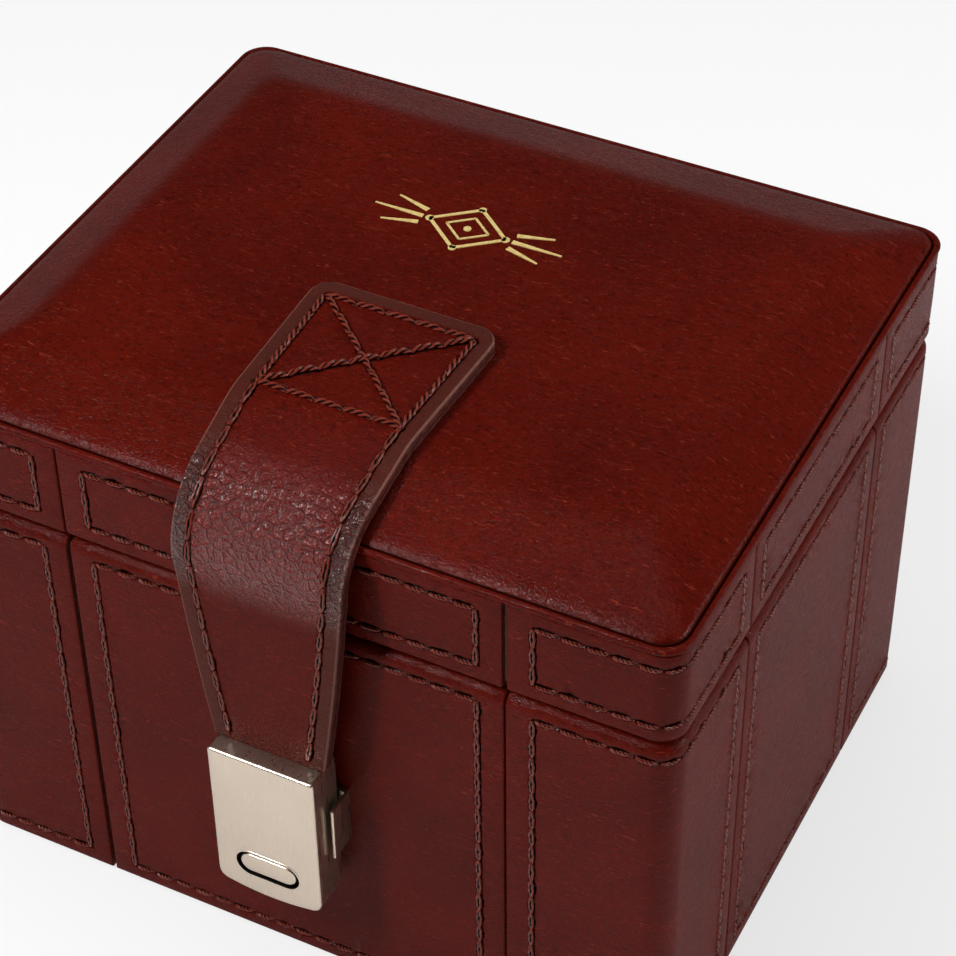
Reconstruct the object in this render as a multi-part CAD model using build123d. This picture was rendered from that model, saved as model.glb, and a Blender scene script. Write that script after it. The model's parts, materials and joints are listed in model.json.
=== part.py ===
from build123d import *
import math
import os

# The frame: +X runs to the right along the front, +Y to the back, +Z up.
# The origin is the middle of the flat underside. The strap and clasp are on the front, at -Y.
# All sizes are in millimetres.

# Leather-covered box
BOX_WIDTH = 200.0
BOX_DEPTH = 166.0
BODY_HEIGHT = 120.0
LID_GAP = 2.0
LID_BAND = 29.0
LID_CROWN = 9.0
CORNER_RADIUS = 7.0
SHOULDER_RADIUS = 3.0
LEATHER = 1.6
SEAM_GAP = 0.7
SEAM_X = 58.0
SEAM_Y = 41.0

# Bevels of the raised lid, from the outer edge to the flat top
BEVEL_SIDE = 19.0
BEVEL_FRONT = 24.0
BEAD_HEIGHT = 1.8
BEAD_PROUD = 0.4
BEAD_UNDERCUT = 0.5
BEVEL_SOFTENING = 3.0
BEVEL_EASE = 0.35
PLATEAU_RADIUS = 5.0

# Wooden carcass
FELT = 1.0
FELT_INSET = 4.0
BASE_BOARD = 6.0
WALL_BOARD = 6.0
SHELF_BOARD = 5.0
LID_RAIL = 4.5
LID_BOARD = 4.8
SUEDE = 0.8
WALL_SUEDE = 0.6

# Lined tray for six watches
TRAY_FLOOR = 3.0
TRAY_WALL = 2.4
TRAY_LIP = 6.0
CELL_COLUMNS = 3
CELL_ROWS = 2
DIVIDER = 3.0
DIVIDER_HEIGHT = 54.0
SLOT_CLEARANCE = 0.1
CUSHION_SIDE_GAP = 4.0
CUSHION_END_GAP = 4.5
CUSHION_HEIGHT = 44.0
CUSHION_CORNER = 13.0
CUSHION_SEAT_GAP = 0.3
CUSHION_SWELL = ((-0.5, 0.80), (-0.36, 0.95), (0.0, 1.0), (0.36, 0.95), (0.5, 0.80))

# Lid pad above the watches
LID_PAD = 5.4
LID_PAD_GAP = 0.8
LID_PAD_STEPS = ((0.0, 0.0), (0.0, 0.45), (3.0, 0.80), (14.0, 1.0))

# Drawer in the left side
DRAWER_BAY = 42.0
DRAWER_REVEAL = 0.4
DRAWER_BACK_ROOM = 8.8
DRAWER_SIDE = 4.0
DRAWER_BOTTOM = 3.0
DRAWER_BACK_HEIGHT = 39.5
DRAWER_SIDE_HEIGHT = 36.5
DRAWER_TRAVEL = 115.0
DRAWER_PLAY = 0.2
RUNNER_HEIGHT = 1.2
RUNNER_WIDTH = 10.0
GUIDE = 3.4
GUIDE_HEIGHT = 24.0
STOP_THICKNESS = 4.0
STOP_WIDTH = 30.0
STOP_DROP = 3.0
DRAWER_DIVIDER = 3.0
DRAWER_DIVIDER_HEIGHT = 24.0
DRAWER_COMPARTMENTS = 3
DRAWER_EDGE = 1.0

# Leather pull on the drawer
PULL_WIDTH = 14.0
PULL_LENGTH = 26.0
PULL_THICKNESS = 2.2
PULL_CORNER = 4.9
PULL_TOP_ABOVE_STUD = 6.0
PULL_STUD_RADIUS = 3.0
PULL_STUD_HEAD = 1.4
PULL_STUD_EDGE = 0.84
PULL_SHANK_RADIUS = 1.2

# Rear hinges
HINGE_X = 38.0
HINGE_WIDTH = 32.0
HINGE_LEAF = 1.2
HINGE_LEAF_HEIGHT = 16.0
KNUCKLE_RADIUS = 2.4
KNUCKLE_SINK = 1.0
KNUCKLE_GAP = 0.2
KNUCKLE_CLEARANCE = 0.4
HINGE_PIN_RADIUS = 1.2
HINGE_PIN_PLAY = 0.05
HINGE_SCREW_INSET = 6.0
HINGE_SCREW_ROW = 9.9

# Screws
SCREW_HEAD_RADIUS = 2.1
SCREW_HEAD_HEIGHT = 0.7
SCREW_SHANK_RADIUS = 1.1
SCREW_LENGTH = 6.0
CLASP_SCREW_HEAD_RADIUS = 1.7
CLASP_SCREW_SHANK_RADIUS = 0.9
CLASP_SCREW_GRIP = 0.8

# Strap of two leathers, sewn on the lid and hanging in front
STRAP_LEATHER = 1.9
STRAP_LINING = 1.7
STRAP_START_Y = -15.0
STRAP_LIFT_ANGLE = 16.0
STRAP_STAND_OFF = 5.3
STRAP_BEND_RADIUS = 17.5
STRAP_KNEE_RADIUS = 20.0
STRAP_TOP_HALF = 24.6
STRAP_BEND_HALF = 21.8
STRAP_MID_HALF = 18.9
STRAP_END_HALF = 15.0
STRAP_MID_BELOW_SPLIT = 27.0
STRAP_CORNER = 6.0
STRAP_SPLIT_GAP = 0.3
STRAP_SPLIT_DROP = 0.5
STRAP_SHOULDER_GAP = 0.3
STRAP_TONGUE_HALF = 11.6
STRAP_TONGUE_LENGTH = 8.6
STRAP_TONGUE_PLAY = 0.1

# Clasp housing
CLASP_WIDTH = 29.0
CLASP_HEIGHT = 48.0
CLASP_BOTTOM = 34.5
CLASP_PROUD = 14.0
CLASP_BACK_GAP = 3.0
CLASP_FRONT_PLATE = 1.4
CLASP_WALL = 1.2
CLASP_ARC_DROP = 1.8
CLASP_EDGE = 0.6
CLASP_CORNER = 1.6
CLAMP_LOW_INSET = 0.6
CLAMP_HIGH_INSET = 2.0

# Push button and its leaf spring
BUTTON_HEIGHT_ABOVE_BOTTOM = 9.6
BUTTON_LENGTH = 18.4
BUTTON_WIDTH = 6.6
BUTTON_PLAY = 0.25
BUTTON_RECESS = 0.2
BUTTON_EDGE = 0.35
BUTTON_FLANGE = 0.8
BUTTON_FLANGE_LIP = 1.3
BUTTON_FLANGE_GAP = 0.2
BUTTON_TRAVEL = 1.2
SPRING_SEAT = 0.8
SPRING_SEAT_GAP = 2.4
SPRING_SEAT_LIP = 1.0
SPRING_STRIP = 0.25
SPRING_WIDTH = 6.0
SPRING_SPAN = 8.0

# Latch slider, lifted by two ramps on the button
SLIDER_THICKNESS = 1.4
SLIDER_LEG_INNER = 8.8
SLIDER_BRIDGE_HEIGHT = 4.0
SLIDER_SIDE_PLAY = 0.3
SLIDER_BRIDGE_LIFT = 1.4
RAMP_GAP = 0.15
RAMP_BACK_GAP = 0.2
RAMP_RISE = 3.4
RAMP_WIDTH = 2.4
TOOTH_HALF = 4.0
TOOTH_GAP = 0.4
TOOTH_REACH = 1.6

# Keeper on the body front
KEEPER_PLATE = 1.4
KEEPER_HALF_WIDTH = 17.4
KEEPER_BOTTOM = 48.5
KEEPER_TOP = 70.5
KEEPER_EAR = 1.2
KEEPER_EAR_GAP = 0.6
KEEPER_EAR_REACH = 5.8
KEEPER_EAR_HEIGHT = 16.0
KEEPER_POST_HALF = 6.0
KEEPER_POST_REACH = 7.6
KEEPER_POST_HEIGHT = 10.2
KEEPER_POST_RISE = 5.5
KEEPER_SCREW_X = 11.5
NOTCH_SIDE_PLAY = 0.5
NOTCH_FRONT_WALL = 1.6
NOTCH_BACK_WALL = 2.0
NOTCH_DEPTH = 2.0

# Working space around the model for cutting tools
REACH = 400.0
OVERCUT = 1.0
TOUCH = 0.01

# Levels worked out from the sizes above
base_top = FELT + BASE_BOARD
bay_top = base_top + DRAWER_BAY
shelf_top = bay_top + SHELF_BOARD
tray_top = BODY_HEIGHT + TRAY_LIP
tray_floor_top = shelf_top + TRAY_FLOOR
cell_floor = tray_floor_top + SUEDE
divider_top = cell_floor + DIVIDER_HEIGHT
lid_bottom = BODY_HEIGHT + LID_GAP
lid_edge = lid_bottom + LID_BAND
lid_top = lid_edge + LID_CROWN
bead_bottom = lid_edge - BEAD_HEIGHT
lid_board_bottom = bead_bottom - LID_BOARD

# Half widths and half depths of the walls
half_w = BOX_WIDTH / 2
half_d = BOX_DEPTH / 2
core_w = half_w - LEATHER
core_d = half_d - LEATHER
well_w = core_w - WALL_BOARD
well_d = core_d - WALL_BOARD
tray_w = well_w - TRAY_WALL
tray_d = well_d - TRAY_WALL
lid_inner_w = core_w - LID_RAIL
lid_inner_d = core_d - LID_RAIL
cell_pitch_x = (2 * tray_w + DIVIDER) / CELL_COLUMNS
cell_pitch_y = (2 * tray_d + DIVIDER) / CELL_ROWS
drawer_rear = well_w - DRAWER_BACK_ROOM

pieces = {}


def block(x0, x1, y0, y1, z0, z1):
    """A straight block between two opposite corners."""
    middle = Pos((x0 + x1) / 2, (y0 + y1) / 2, (z0 + z1) / 2)
    return middle * Box(x1 - x0, y1 - y0, z1 - z0)


def rounded_block(half_x, half_y, z0, z1, radius):
    """A block centred on the Z axis with its upright edges rounded."""
    outline = RectangleRounded(2 * half_x, 2 * half_y, radius)
    return extrude(Pos(0, 0, z0) * outline, z1 - z0)


def edges_at(solid, z):
    """The edges of a solid that lie at one height."""
    return solid.edges().filter_by_position(Axis.Z, z - TOUCH, z + TOUCH)


def stack_of_sections(sections):
    """A straight-sided form through level rounded rectangles: (half x, half y, z, radius)."""
    faces = [Pos(0, 0, z) * RectangleRounded(2 * x, 2 * y, r) for x, y, z, r in sections]
    return loft(faces, ruled=True)


def rod_along_y(x, z, radius, y0, y1):
    """A round rod parallel to Y."""
    return Pos(x, (y0 + y1) / 2, z) * Rot(90, 0, 0) * Cylinder(radius, abs(y1 - y0))


def rod_along_x(y, z, radius, x0, x1):
    """A round rod parallel to X."""
    return Pos((x0 + x1) / 2, y, z) * Rot(0, 90, 0) * Cylinder(radius, abs(x1 - x0))


def stadium_along_y(length, width, z, y0, y1):
    """A round-ended bar lying across X, with its thickness along Y."""
    outline = Plane((0, y0, z), x_dir=(1, 0, 0), z_dir=(0, 1, 0)) * SlotOverall(length, width)
    return extrude(outline, y1 - y0)


def panel_regions(z0, z1):
    """The four middle and four corner stretches between the upright seams."""
    half = SEAM_GAP / 2
    sx, sy = SEAM_X, SEAM_Y
    regions = {
        "front": block(-sx + half, sx - half, -REACH, 0, z0, z1),
        "back": block(-sx + half, sx - half, 0, REACH, z0, z1),
        "left": block(-REACH, 0, -sy + half, sy - half, z0, z1),
        "right": block(0, REACH, -sy + half, sy - half, z0, z1),
    }
    for side, dx in (("left", -1), ("right", 1)):
        for end, dy in (("front", -1), ("back", 1)):
            xs = sorted((dx * (sx + half), dx * REACH))
            ys = sorted((dy * (sy + half), dy * REACH))
            regions[f"corner_{end}_{side}"] = block(*xs, *ys, z0, z1)
    return regions


def corner_panels(panels):
    """The four panels that wrap round the upright corners."""
    return [panel for name, panel in panels.items() if name.startswith("corner")]


def body_core():
    """The outer form of the wooden body, under its leather."""
    core = rounded_block(core_w, core_d, FELT, BODY_HEIGHT - LEATHER, CORNER_RADIUS - LEATHER)
    return fillet(edges_at(core, BODY_HEIGHT - LEATHER), SHOULDER_RADIUS - LEATHER)


def hinge_axis():
    """Where the hinge pins run: Y and Z of their common line."""
    y = half_d + HINGE_LEAF + KNUCKLE_RADIUS - KNUCKLE_SINK
    return y, BODY_HEIGHT + LID_GAP / 2


def screw_along_y(x, z, seat_y, inward):
    """A round-headed screw driven along Y, its head resting on seat_y."""
    head = rod_along_y(x, z, SCREW_HEAD_RADIUS, seat_y - inward * SCREW_HEAD_HEIGHT, seat_y)
    shank = rod_along_y(x, z, SCREW_SHANK_RADIUS, seat_y, seat_y + inward * SCREW_LENGTH)
    return head + shank


def hinge_screws(above):
    """The four screws of both hinges that hold the lid leaves or the body leaves."""
    y, z = hinge_axis()
    row = z + (HINGE_SCREW_ROW if above else -HINGE_SCREW_ROW)
    reach = HINGE_WIDTH / 2 - HINGE_SCREW_INSET
    places = [hx + dx for hx in (-HINGE_X, HINGE_X) for dx in (-reach, reach)]
    return [screw_along_y(x, row, half_d + HINGE_LEAF, -1) for x in places]


def keeper_screws():
    """The two screws that hold the keeper to the body front."""
    z = (KEEPER_BOTTOM + KEEPER_TOP) / 2
    return [screw_along_y(x, z, -half_d - KEEPER_PLATE, 1) for x in (-KEEPER_SCREW_X, KEEPER_SCREW_X)]


def group(solids):
    """Separate solids kept together in one node."""
    return Compound(children=list(solids))


def without(solid, tools):
    """A piece with the room for some screws or rods cut out of it."""
    for tool in tools:
        solid = solid - tool
    return solid


def build_carcass():
    """Base, walls and shelf, cut from the rounded outer form of the body."""
    core = body_core()
    back_screws = hinge_screws(above=False)
    front_screws = keeper_screws()
    top = BODY_HEIGHT
    front = core & block(-REACH, REACH, -REACH, -well_d, base_top, top)
    back = core & block(-REACH, REACH, well_d, REACH, base_top, top)
    pieces["base_board"] = core & block(-REACH, REACH, -REACH, REACH, FELT, base_top)
    pieces["front_board"] = without(front, front_screws)
    pieces["back_board"] = without(back, back_screws)
    pieces["right_board"] = core & block(well_w, REACH, -well_d, well_d, base_top, top)
    pieces["left_board"] = core & block(-REACH, -well_w, -well_d, well_d, bay_top, top)
    pieces["shelf_board"] = block(-well_w, well_w, -well_d, well_d, bay_top, shelf_top)
    felt_w, felt_d = half_w - FELT_INSET, half_d - FELT_INSET
    pieces["base_felt"] = rounded_block(felt_w, felt_d, 0, FELT, CORNER_RADIUS)


def build_body_leather():
    """Eight leather panels round the body, and the strip below the drawer."""
    outer = rounded_block(half_w, half_d, FELT, BODY_HEIGHT, CORNER_RADIUS)
    outer = fillet(edges_at(outer, BODY_HEIGHT), SHOULDER_RADIUS)
    skin = outer - body_core() - block(-well_w, well_w, -well_d, well_d, FELT, REACH)
    drawer_mouth = block(-REACH, -well_w, -well_d, well_d, 0, bay_top)
    sill = block(-REACH, -well_w, -well_d, well_d, FELT, base_top)
    pieces["drawer_sill_leather"] = skin & sill
    skin = skin - drawer_mouth
    panels = {name: skin & region for name, region in panel_regions(0, REACH).items()}
    pieces["body_panel_front"] = without(panels["front"], keeper_screws())
    pieces["body_panel_back"] = without(panels["back"], hinge_screws(above=False))
    pieces["body_panel_left"] = panels["left"]
    pieces["body_panel_right"] = panels["right"]
    pieces["body_corner_panels"] = group(corner_panels(panels))


def build_watch_tray():
    """The lined tray: floor, four walls that rise into the lid, dividers and suede."""
    pieces["tray_floor"] = block(-tray_w, tray_w, -tray_d, tray_d, shelf_top, tray_floor_top)
    pieces["tray_suede"] = block(-tray_w, tray_w, -tray_d, tray_d, tray_floor_top, cell_floor)
    long_wall = block(-well_w, well_w, tray_d, well_d, shelf_top, tray_top)
    end_wall = block(tray_w, well_w, -tray_d, tray_d, shelf_top, tray_top)
    walls = [long_wall, mirror(long_wall, Plane.XZ), end_wall, mirror(end_wall, Plane.YZ)]
    pieces["tray_walls"] = group(walls)


def divider_places():
    """X of the boards between the columns of cells."""
    first = -tray_w + cell_pitch_x - DIVIDER / 2
    return [first + i * cell_pitch_x for i in range(CELL_COLUMNS - 1)]


def build_dividers():
    """One long board and the cross boards, halved into each other."""
    half = DIVIDER / 2
    slot = half + SLOT_CLEARANCE
    mid_z = (cell_floor + divider_top) / 2
    long_board = block(-tray_w, tray_w, -half, half, cell_floor, divider_top)
    for x in divider_places():
        long_board -= block(x - slot, x + slot, -slot, slot, mid_z - SLOT_CLEARANCE, REACH)
    pieces["cell_divider_long"] = long_board
    cross_boards = []
    for x in divider_places():
        board = block(x - half, x + half, -tray_d, tray_d, cell_floor, divider_top)
        cross_boards.append(board - block(x - slot, x + slot, -slot, slot, 0, mid_z))
    pieces["cell_dividers_cross"] = group(cross_boards)


def cushion(x, y):
    """A watch cushion: crowned in the middle and drawn in towards both ends."""
    length = cell_pitch_x - DIVIDER - 2 * CUSHION_SIDE_GAP
    depth = cell_pitch_y - DIVIDER - 2 * CUSHION_END_GAP
    middle_z = cell_floor + CUSHION_SEAT_GAP + CUSHION_HEIGHT / 2
    faces = []
    for share, swell in CUSHION_SWELL:
        plane = Plane((x + share * length, y, middle_z), x_dir=(0, 1, 0), z_dir=(1, 0, 0))
        section = RectangleRounded(depth * swell, CUSHION_HEIGHT * swell, CUSHION_CORNER * swell)
        faces.append(plane * section)
    return loft(faces)


def build_cushions():
    """One cushion in each cell."""
    cushions = []
    for row in range(CELL_ROWS):
        for column in range(CELL_COLUMNS):
            x = (column - (CELL_COLUMNS - 1) / 2) * cell_pitch_x
            y = (row - (CELL_ROWS - 1) / 2) * cell_pitch_y
            cushions.append(cushion(x, y))
    pieces["watch_cushions"] = group(cushions)


def drawer_levels():
    """Underside and floor of the drawer."""
    under = base_top + RUNNER_HEIGHT + DRAWER_PLAY
    return under, under + DRAWER_BOTTOM


def build_drawer():
    """The drawer box, its leather front, its divider boards and its suede floor."""
    under, floor = drawer_levels()
    box_half = well_d - GUIDE - DRAWER_PLAY
    inner_half = box_half - DRAWER_SIDE
    front_half = well_d - DRAWER_REVEAL
    back_front = drawer_rear - DRAWER_SIDE
    z0, z1 = base_top + DRAWER_REVEAL, bay_top - DRAWER_REVEAL
    front = block(-core_w, -well_w, -front_half, front_half, z0, z1)
    leather = block(-half_w, -core_w, -front_half, front_half, z0, z1)
    stud = drawer_stud()
    pieces["drawer_front"] = front - stud
    leather = fillet(leather.faces().sort_by(Axis.X)[0].edges(), DRAWER_EDGE)
    pieces["drawer_front_leather"] = leather - stud
    side_top = under + DRAWER_SIDE_HEIGHT
    side = block(-well_w, drawer_rear, inner_half, box_half, under, side_top)
    pieces["drawer_sides"] = group([side, mirror(side, Plane.XZ)])
    back_top = under + DRAWER_BACK_HEIGHT
    pieces["drawer_back"] = block(back_front, drawer_rear, -inner_half, inner_half, under, back_top)
    pieces["drawer_bottom"] = block(-well_w, back_front, -inner_half, inner_half, under, floor)
    lining_top = floor + SUEDE
    pieces["drawer_suede"] = block(-well_w, back_front, -inner_half, inner_half, floor, lining_top)
    span = (back_front + well_w) / DRAWER_COMPARTMENTS
    half = DRAWER_DIVIDER / 2
    top = lining_top + DRAWER_DIVIDER_HEIGHT
    places = [-well_w + i * span for i in range(1, DRAWER_COMPARTMENTS)]
    boards = [block(x - half, x + half, -inner_half, inner_half, lining_top, top) for x in places]
    pieces["drawer_dividers"] = group(boards)


def pull_stud_z():
    """Height of the stud that holds the leather pull."""
    return (base_top + bay_top + PULL_LENGTH) / 2 - PULL_TOP_ABOVE_STUD


def drawer_stud():
    """The nickel stud of the drawer pull, with its shank through leather and board."""
    z = pull_stud_z()
    tab_face = -half_w - PULL_THICKNESS
    head = rod_along_x(0, z, PULL_STUD_RADIUS, tab_face - PULL_STUD_HEAD, tab_face)
    head = fillet(head.edges().sort_by(Axis.X)[0], PULL_STUD_EDGE)
    shank = rod_along_x(0, z, PULL_SHANK_RADIUS, tab_face, -well_w)
    return head + shank


def build_drawer_pull():
    """A leather tab that hangs from its stud on the drawer front."""
    z_top = pull_stud_z() + PULL_TOP_ABOVE_STUD
    middle = z_top - PULL_LENGTH / 2
    plane = Plane((-half_w, 0, middle), x_dir=(0, 1, 0), z_dir=(-1, 0, 0))
    outline = plane * RectangleRounded(PULL_WIDTH, PULL_LENGTH, PULL_CORNER)
    pieces["drawer_pull_tab"] = extrude(outline, PULL_THICKNESS) - drawer_stud()
    pieces["drawer_pull_stud"] = drawer_stud()


def build_drawer_slides():
    """Runners under the drawer, guides beside it and the stop that catches its back."""
    guide_face = well_d - GUIDE
    runner_top = base_top + RUNNER_HEIGHT
    runner = block(-well_w, drawer_rear, guide_face - RUNNER_WIDTH, guide_face, base_top, runner_top)
    guide_start = -well_w + DRAWER_PLAY
    guide = block(guide_start, drawer_rear, guide_face, well_d, base_top, base_top + GUIDE_HEIGHT)
    pieces["drawer_runners"] = group([runner, mirror(runner, Plane.XZ)])
    pieces["drawer_guides"] = group([guide, mirror(guide, Plane.XZ)])
    stop_face = drawer_rear - DRAWER_SIDE - DRAWER_TRAVEL - DRAWER_PLAY
    half = STOP_WIDTH / 2
    stop = block(stop_face - STOP_THICKNESS, stop_face, -half, half, bay_top - STOP_DROP, bay_top)
    pieces["drawer_stop"] = stop


def lid_core():
    """The outer form of the lid's rails and board, under the leather band."""
    return rounded_block(core_w, core_d, lid_bottom + LEATHER, bead_bottom, CORNER_RADIUS - LEATHER)


def build_lid_frame():
    """Rails and top board of the lid, with suede on the rails and a soft pad."""
    core = lid_core()
    low, high = lid_bottom, lid_board_bottom
    screws = hinge_screws(above=True)
    back = core & block(-REACH, REACH, lid_inner_d, REACH, low, high)
    front = core & block(-REACH, REACH, -REACH, -lid_inner_d, low, high)
    right = core & block(lid_inner_w, REACH, -lid_inner_d, lid_inner_d, low, high)
    pieces["lid_rails_long"] = group([without(back, screws), front])
    pieces["lid_rails_end"] = group([right, mirror(right, Plane.YZ)])
    pieces["lid_board"] = core & block(-REACH, REACH, -REACH, REACH, high, bead_bottom)
    suede_w, suede_d = lid_inner_w - WALL_SUEDE, lid_inner_d - WALL_SUEDE
    ring = block(-lid_inner_w, lid_inner_w, -lid_inner_d, lid_inner_d, lid_bottom + LEATHER, high)
    pieces["lid_wall_suede"] = ring - block(-suede_w, suede_w, -suede_d, suede_d, 0, REACH)
    pad_w, pad_d = suede_w - LID_PAD_GAP, suede_d - LID_PAD_GAP
    pieces["lid_pad"] = stack_of_sections([
        (pad_w - inset, pad_d - inset, high - LID_PAD * share, CORNER_RADIUS)
        for inset, share in LID_PAD_STEPS
    ])


def crown_sections(thickness):
    """Sections of the raised lid; a leather thickness off the outer face gives the pad's form."""
    t = thickness
    flat_x, flat_y = half_w - BEVEL_SIDE, half_d - BEVEL_FRONT
    soft = BEVEL_SOFTENING
    drop = soft * LID_CROWN / BEVEL_FRONT
    r = CORNER_RADIUS
    return [
        (half_w - LEATHER - soft, half_d - LEATHER - soft, bead_bottom, r),
        (half_w - LEATHER - soft, half_d - LEATHER - soft, lid_edge - t, r),
        (flat_x + soft, flat_y + soft, lid_top - drop - t, PLATEAU_RADIUS + soft),
        (flat_x, flat_y, lid_top - drop * BEVEL_EASE - t, PLATEAU_RADIUS),
        (flat_x - soft, flat_y - soft, lid_top - t, PLATEAU_RADIUS),
    ]


def lid_crown_outer():
    """The outer form of the lid top, with the fine bead round its edge."""
    sections = crown_sections(0)[2:]
    r = CORNER_RADIUS
    edge = [
        (half_w - BEAD_UNDERCUT, half_d - BEAD_UNDERCUT, bead_bottom, r),
        (half_w + BEAD_PROUD, half_d + BEAD_PROUD, bead_bottom + BEAD_HEIGHT / 3, r + BEAD_PROUD),
        (half_w + BEAD_PROUD, half_d + BEAD_PROUD, bead_bottom + BEAD_HEIGHT * 2 / 3, r + BEAD_PROUD),
        (half_w - BEAD_UNDERCUT, half_d - BEAD_UNDERCUT, lid_edge, r),
    ]
    return stack_of_sections(edge + sections)


def build_lid_crown():
    """The shaped pad on the lid board and the leather drawn over it."""
    pad = stack_of_sections(crown_sections(LEATHER))
    pieces["lid_crown_pad"] = pad
    pieces["lid_top_leather"] = lid_crown_outer() - pad


def build_lid_band():
    """Eight leather panels round the edge of the lid."""
    outer = rounded_block(half_w, half_d, lid_bottom, bead_bottom, CORNER_RADIUS)
    outer = fillet(edges_at(outer, lid_bottom), SHOULDER_RADIUS * 0.5)
    inner = block(-lid_inner_w, lid_inner_w, -lid_inner_d, lid_inner_d, 0, REACH)
    skin = outer - lid_core() - inner
    panels = {name: skin & region for name, region in panel_regions(0, REACH).items()}
    back = without(panels["back"], hinge_screws(above=True))
    pieces["lid_panels_long"] = group([panels["front"], back])
    pieces["lid_panels_end"] = group([panels["left"], panels["right"]])
    pieces["lid_corner_panels"] = group(corner_panels(panels))


def hinge_leaf(x, above):
    """One leaf: a plate with one knuckle (lid) or two (body) round the pin."""
    y, z = hinge_axis()
    third = HINGE_WIDTH / 3
    gap = KNUCKLE_GAP / 2
    left, right = x - HINGE_WIDTH / 2, x + HINGE_WIDTH / 2
    z_ends = (z, z + HINGE_LEAF_HEIGHT) if above else (z - HINGE_LEAF_HEIGHT, z)
    plate = block(left, right, half_d, half_d + HINGE_LEAF, *z_ends)
    middle = (left + third + gap, right - third - gap)
    outer = ((left, left + third - gap), (right - third + gap, right))
    own, other = ((middle,), outer) if above else (outer, (middle,))
    for x0, x1 in other:
        room = rod_along_x(y, z, KNUCKLE_RADIUS + KNUCKLE_CLEARANCE, x0 - KNUCKLE_GAP, x1 + KNUCKLE_GAP)
        plate -= room
    for x0, x1 in own:
        plate += rod_along_x(y, z, KNUCKLE_RADIUS, x0, x1)
    play = HINGE_PIN_PLAY if above else 0
    plate -= rod_along_x(y, z, HINGE_PIN_RADIUS + play, left - OVERCUT, right + OVERCUT)
    return without(plate, hinge_screws(above))


def build_hinges():
    """Two butt hinges across the gap at the back, with pins and screws."""
    y, z = hinge_axis()
    places, half = (-HINGE_X, HINGE_X), HINGE_WIDTH / 2
    pieces["hinge_body_leaves"] = group([hinge_leaf(x, above=False) for x in places])
    pieces["hinge_lid_leaves"] = group([hinge_leaf(x, above=True) for x in places])
    pins = [rod_along_x(y, z, HINGE_PIN_RADIUS, x - half, x + half) for x in places]
    pieces["hinge_pins"] = group(pins)
    pieces["hinge_screws_body"] = group(hinge_screws(above=False))
    pieces["hinge_screws_lid"] = group(hinge_screws(above=True))


def strap_corners(offset):
    """Corners of a line a given distance outside the strap's inner face, in Y and Z."""
    rise = math.radians(STRAP_LIFT_ANGLE)
    knee_y = -half_d + BEVEL_FRONT
    face_y = -half_d - STRAP_STAND_OFF
    turn_z = lid_top - (knee_y - face_y) * math.tan(rise)
    knee = (knee_y - offset * math.tan(rise / 2), lid_top + offset)
    square = math.pi / 2 - rise
    turn = (face_y - offset, turn_z + offset * math.tan(square / 2))
    return knee, turn


def strap_split_z():
    """Height where the strap hangs straight and the part that swings begins."""
    square = math.pi / 2 - math.radians(STRAP_LIFT_ANGLE)
    turn = strap_corners(0)[1]
    return turn[1] - STRAP_BEND_RADIUS * math.tan(square / 2) - STRAP_SPLIT_DROP


def strap_line(offset):
    """The strap's run over the lid and down, a given distance outside its inner face."""
    knee, turn = strap_corners(offset)
    points = [
        (STRAP_START_Y, lid_top + offset),
        knee,
        turn,
        (turn[0], strap_split_z()),
    ]
    radii = [STRAP_KNEE_RADIUS + offset, STRAP_BEND_RADIUS + offset]
    return FilletPolyline(*points, radius=radii)


def strap_plan():
    """The strap's outline seen from above: rounded at its sewn end, tapering to the front."""
    start, end = STRAP_START_Y, -half_d - CLASP_PROUD
    outline = Polyline(
        (-STRAP_TOP_HALF, start), (STRAP_TOP_HALF, start),
        (STRAP_BEND_HALF, end), (-STRAP_BEND_HALF, end), close=True,
    )
    face = make_face(outline)
    far = face.vertices().sort_by(Axis.Y)[-2:]
    return extrude(fillet(far, STRAP_CORNER), REACH)


def strap_elevation():
    """The hanging part seen from the front: a taper down to a tongue inside the clasp."""
    top = strap_split_z() - STRAP_SPLIT_GAP
    shoulder = clasp_top_z() + STRAP_SHOULDER_GAP
    tongue = shoulder - STRAP_TONGUE_LENGTH
    half = Line((0, top), (STRAP_BEND_HALF, top))
    mid = (STRAP_MID_HALF, top - STRAP_MID_BELOW_SPLIT)
    half += ThreePointArc((STRAP_BEND_HALF, top), mid, (STRAP_END_HALF, shoulder))
    half += Polyline(
        (STRAP_END_HALF, shoulder), (STRAP_TONGUE_HALF, shoulder),
        (STRAP_TONGUE_HALF, tongue), (0, tongue),
    )
    half += Line((0, tongue), (0, top))
    face = make_face(half)
    face = face + mirror(face, Plane.YZ)
    front = Plane((0, -half_d - REACH / 4, 0), x_dir=(1, 0, 0), z_dir=(0, -1, 0))
    return extrude(front * face, REACH / 2, both=True)


def build_strap():
    """Top leather and lining of the strap, each in a sewn and a hanging part."""
    layers = {"lining": (0.0, STRAP_LINING), "leather": (STRAP_LINING, STRAP_LINING + STRAP_LEATHER)}
    plan, elevation = strap_plan(), strap_elevation()
    for name, (low, high) in layers.items():
        inner, outer = strap_line(low), strap_line(high)
        ends = Line(inner @ 0, outer @ 0) + Line(inner @ 1, outer @ 1)
        section = make_face(inner + outer + ends)
        band = extrude(Plane.YZ * section, STRAP_TOP_HALF + OVERCUT, both=True)
        pieces[f"strap_upper_{name}"] = band & plan
        y_in = -half_d - STRAP_STAND_OFF
        slab = block(-REACH, REACH, y_in - high, y_in - low, 0, strap_split_z())
        pieces[f"strap_lower_{name}"] = without(slab & elevation, clasp_screws())


def strap_tongue_faces():
    """Y of the inner and the outer face of the strap where it hangs."""
    inner = -half_d - STRAP_STAND_OFF
    return inner, inner - STRAP_LINING - STRAP_LEATHER


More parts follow.
